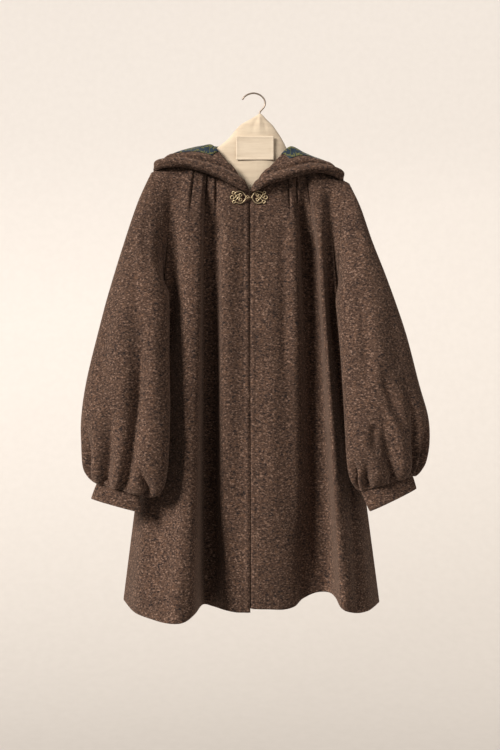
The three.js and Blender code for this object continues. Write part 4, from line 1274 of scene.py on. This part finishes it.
def claspHalf(which):
    shape = claspShape
    inward = -sides[which]["out"]
    turn = np.linspace(0, 2 * math.pi, 40, endpoint=False)

    def ring(x, up, radius, lift):
        # a loop of wire that rises and dips, so that strands pass over and under
        line = np.stack([x + radius * np.cos(turn), -lift * np.sin(2 * turn), up + radius * np.sin(turn)], 1)
        return tubeAlong(line, shape["radius"], shape["around"], closed=True)

    wires = []
    for k, strand in enumerate(claspStrands):
        spans = len(strand) - 1
        line = splineAt([(x, 0, up) for x, up in strand], np.linspace(0, spans, 9 * len(strand)))
        line[:, 1] = -shape["lift"] * np.sin(np.linspace(0, math.pi * spans / 2, len(line)) + k)
        wires.append(tubeAlong(line, shape["radius"], shape["around"]))
    wires += [ring(x, up, radius, shape["lift"]) for x, up, radius in claspLoops]
    if which == "right":
        wires.append(ring(claspEye["x"], 0, claspEye["radius"], 0))
    else:
        line = splineAt(claspHook["line"], np.linspace(0, len(claspHook["line"]) - 1, 30))
        wires.append(tubeAlong(line, claspHook["radius"], shape["around"]))
    points, faces = joined(wires)
    points = np.array(points) * (inward, 1, 1) + (shape[which], shape["plane"], shape["z"])
    faces = faces if inward > 0 else [face[::-1] for face in faces]
    piece = meshPiece("claspKnot_" + which, points, faces, claspMetal, "clasp_metal")
    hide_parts("clasp_" + which)


for which in ("right", "left"):
    claspHalf(which)
print("clasp hooked")


# Studio, in metres

studio = {
    "camera": (-0.0095, -2.7, -0.59),
    "lens": 61.7,
    "floor": -1.9,
    "floorFront": -0.6,
    "sweepStart": 1.6,  # where the floor begins to rise
    "sweepRadius": 2.6,
    "sweepSteps": 24,
    "sweepTop": 3.2,
    "halfWidth": 5,
    "dark": (0.715, 0.69, 0.67),
    "pale": (0.735, 0.71, 0.69),
    "low": [(0.0, (0.78, 0.77, 0.755)), (0.62, (0.97, 0.965, 0.96)), (1.0, (1, 1, 1))],  # painted shade: the sweep is darker low down
    "world": (1.0, 0.93, 0.86),
    "worldStrength": 0.16,
}
# both lamps are far away: where from, strength, how wide they look and colour
lamps = {
    "windowLight": {"from": (-0.70, -0.52, 0.46), "strength": 4.9, "angle": 22, "colour": (1.0, 0.94, 0.87)},
    "roomLight": {"from": (0.74, -0.62, 0.26), "strength": 0.75, "angle": 70, "colour": (1.0, 0.92, 0.84)},
}


def placeInScene(name, data, **values):
    item = bpy.data.objects.new(name, data)
    for key, value in values.items():
        setattr(item, key, value)
    bpy.context.collection.objects.link(item)
    return item


def farLight(name, lamp):
    data = bpy.data.lights.new(name, "SUN")
    data.energy = lamp["strength"]
    data.angle = math.radians(lamp["angle"])
    data.color = lamp["colour"]
    x, y, z = lamp["from"]
    turn = (math.atan2(math.hypot(x, y), z), 0, math.atan2(y, x) + math.pi / 2)
    placeInScene(name, data, rotation_euler=turn)


def sweepMaterial():
    material, nodes, links, shader = newMaterial("paleSweep", {"Roughness": 0.95, "Specular IOR Level": 0.1})
    place = nodes.new("ShaderNodeTexCoord").outputs["Object"]
    grain = noise(nodes, links, place, 30)
    colour = ramp(nodes, links, grain, [(0.3, studio["dark"]), (0.7, studio["pale"])])
    split = nodes.new("ShaderNodeSeparateXYZ")
    links.new(place, split.inputs["Vector"])
    # painted shade: the sweep's colour is made darker towards the floor and towards +X, where less light
    # falls
    across = mathNode(nodes, links, "MULTIPLY_ADD", split.outputs["X"], -0.10, 0.62)
    height = mathNode(nodes, links, "MULTIPLY_ADD", split.outputs["Z"], 0.33, across)
    low = ramp(nodes, links, height, studio["low"])
    links.new(mixColour(nodes, links, "MULTIPLY", 1.0, colour, low), shader.inputs["Base Color"])
    return material


def paleSweep():
    # the floor runs back and curves up behind the coat
    start, radius, floor = studio["sweepStart"], studio["sweepRadius"], studio["floor"]
    line = [(studio["floorFront"], floor)]
    for a in np.linspace(0, math.pi / 2, studio["sweepSteps"] + 1).tolist():
        line.append((start + radius * math.sin(a), floor + radius * (1 - math.cos(a))))
    line.append((start + radius, studio["sweepTop"]))
    wide = studio["halfWidth"]
    mesh = bpy.data.meshes.new("paleSweep")
    faces = [(2 * k, 2 * k + 1, 2 * k + 3, 2 * k + 2) for k in range(len(line) - 1)]
    mesh.from_pydata([(x, y, z) for y, z in line for x in (-wide, wide)], [], faces)
    mesh.polygons.foreach_set("use_smooth", [True] * len(mesh.polygons))
    mesh.materials.append(sweepMaterial())
    placeInScene("paleSweep", mesh)


def setStudio():
    scene = bpy.context.scene
    world = bpy.data.worlds.new("paleRoom")
    world.use_nodes = True
    sky = world.node_tree.nodes["Background"]
    setSockets(sky, {"Color": (*studio["world"], 1), "Strength": studio["worldStrength"]})
    scene.world = world
    scene.view_settings.view_transform = "Standard"
    for name, lamp in lamps.items():
        farLight(name, lamp)
    data = bpy.data.cameras.new("camera")
    data.lens = studio["lens"]
    data.sensor_width = 36
    data.clip_end = 50
    scene.camera = placeInScene("camera", data, location=studio["camera"], rotation_euler=(math.pi / 2, 0, 0))


paleSweep()
setStudio()
print("studio set")
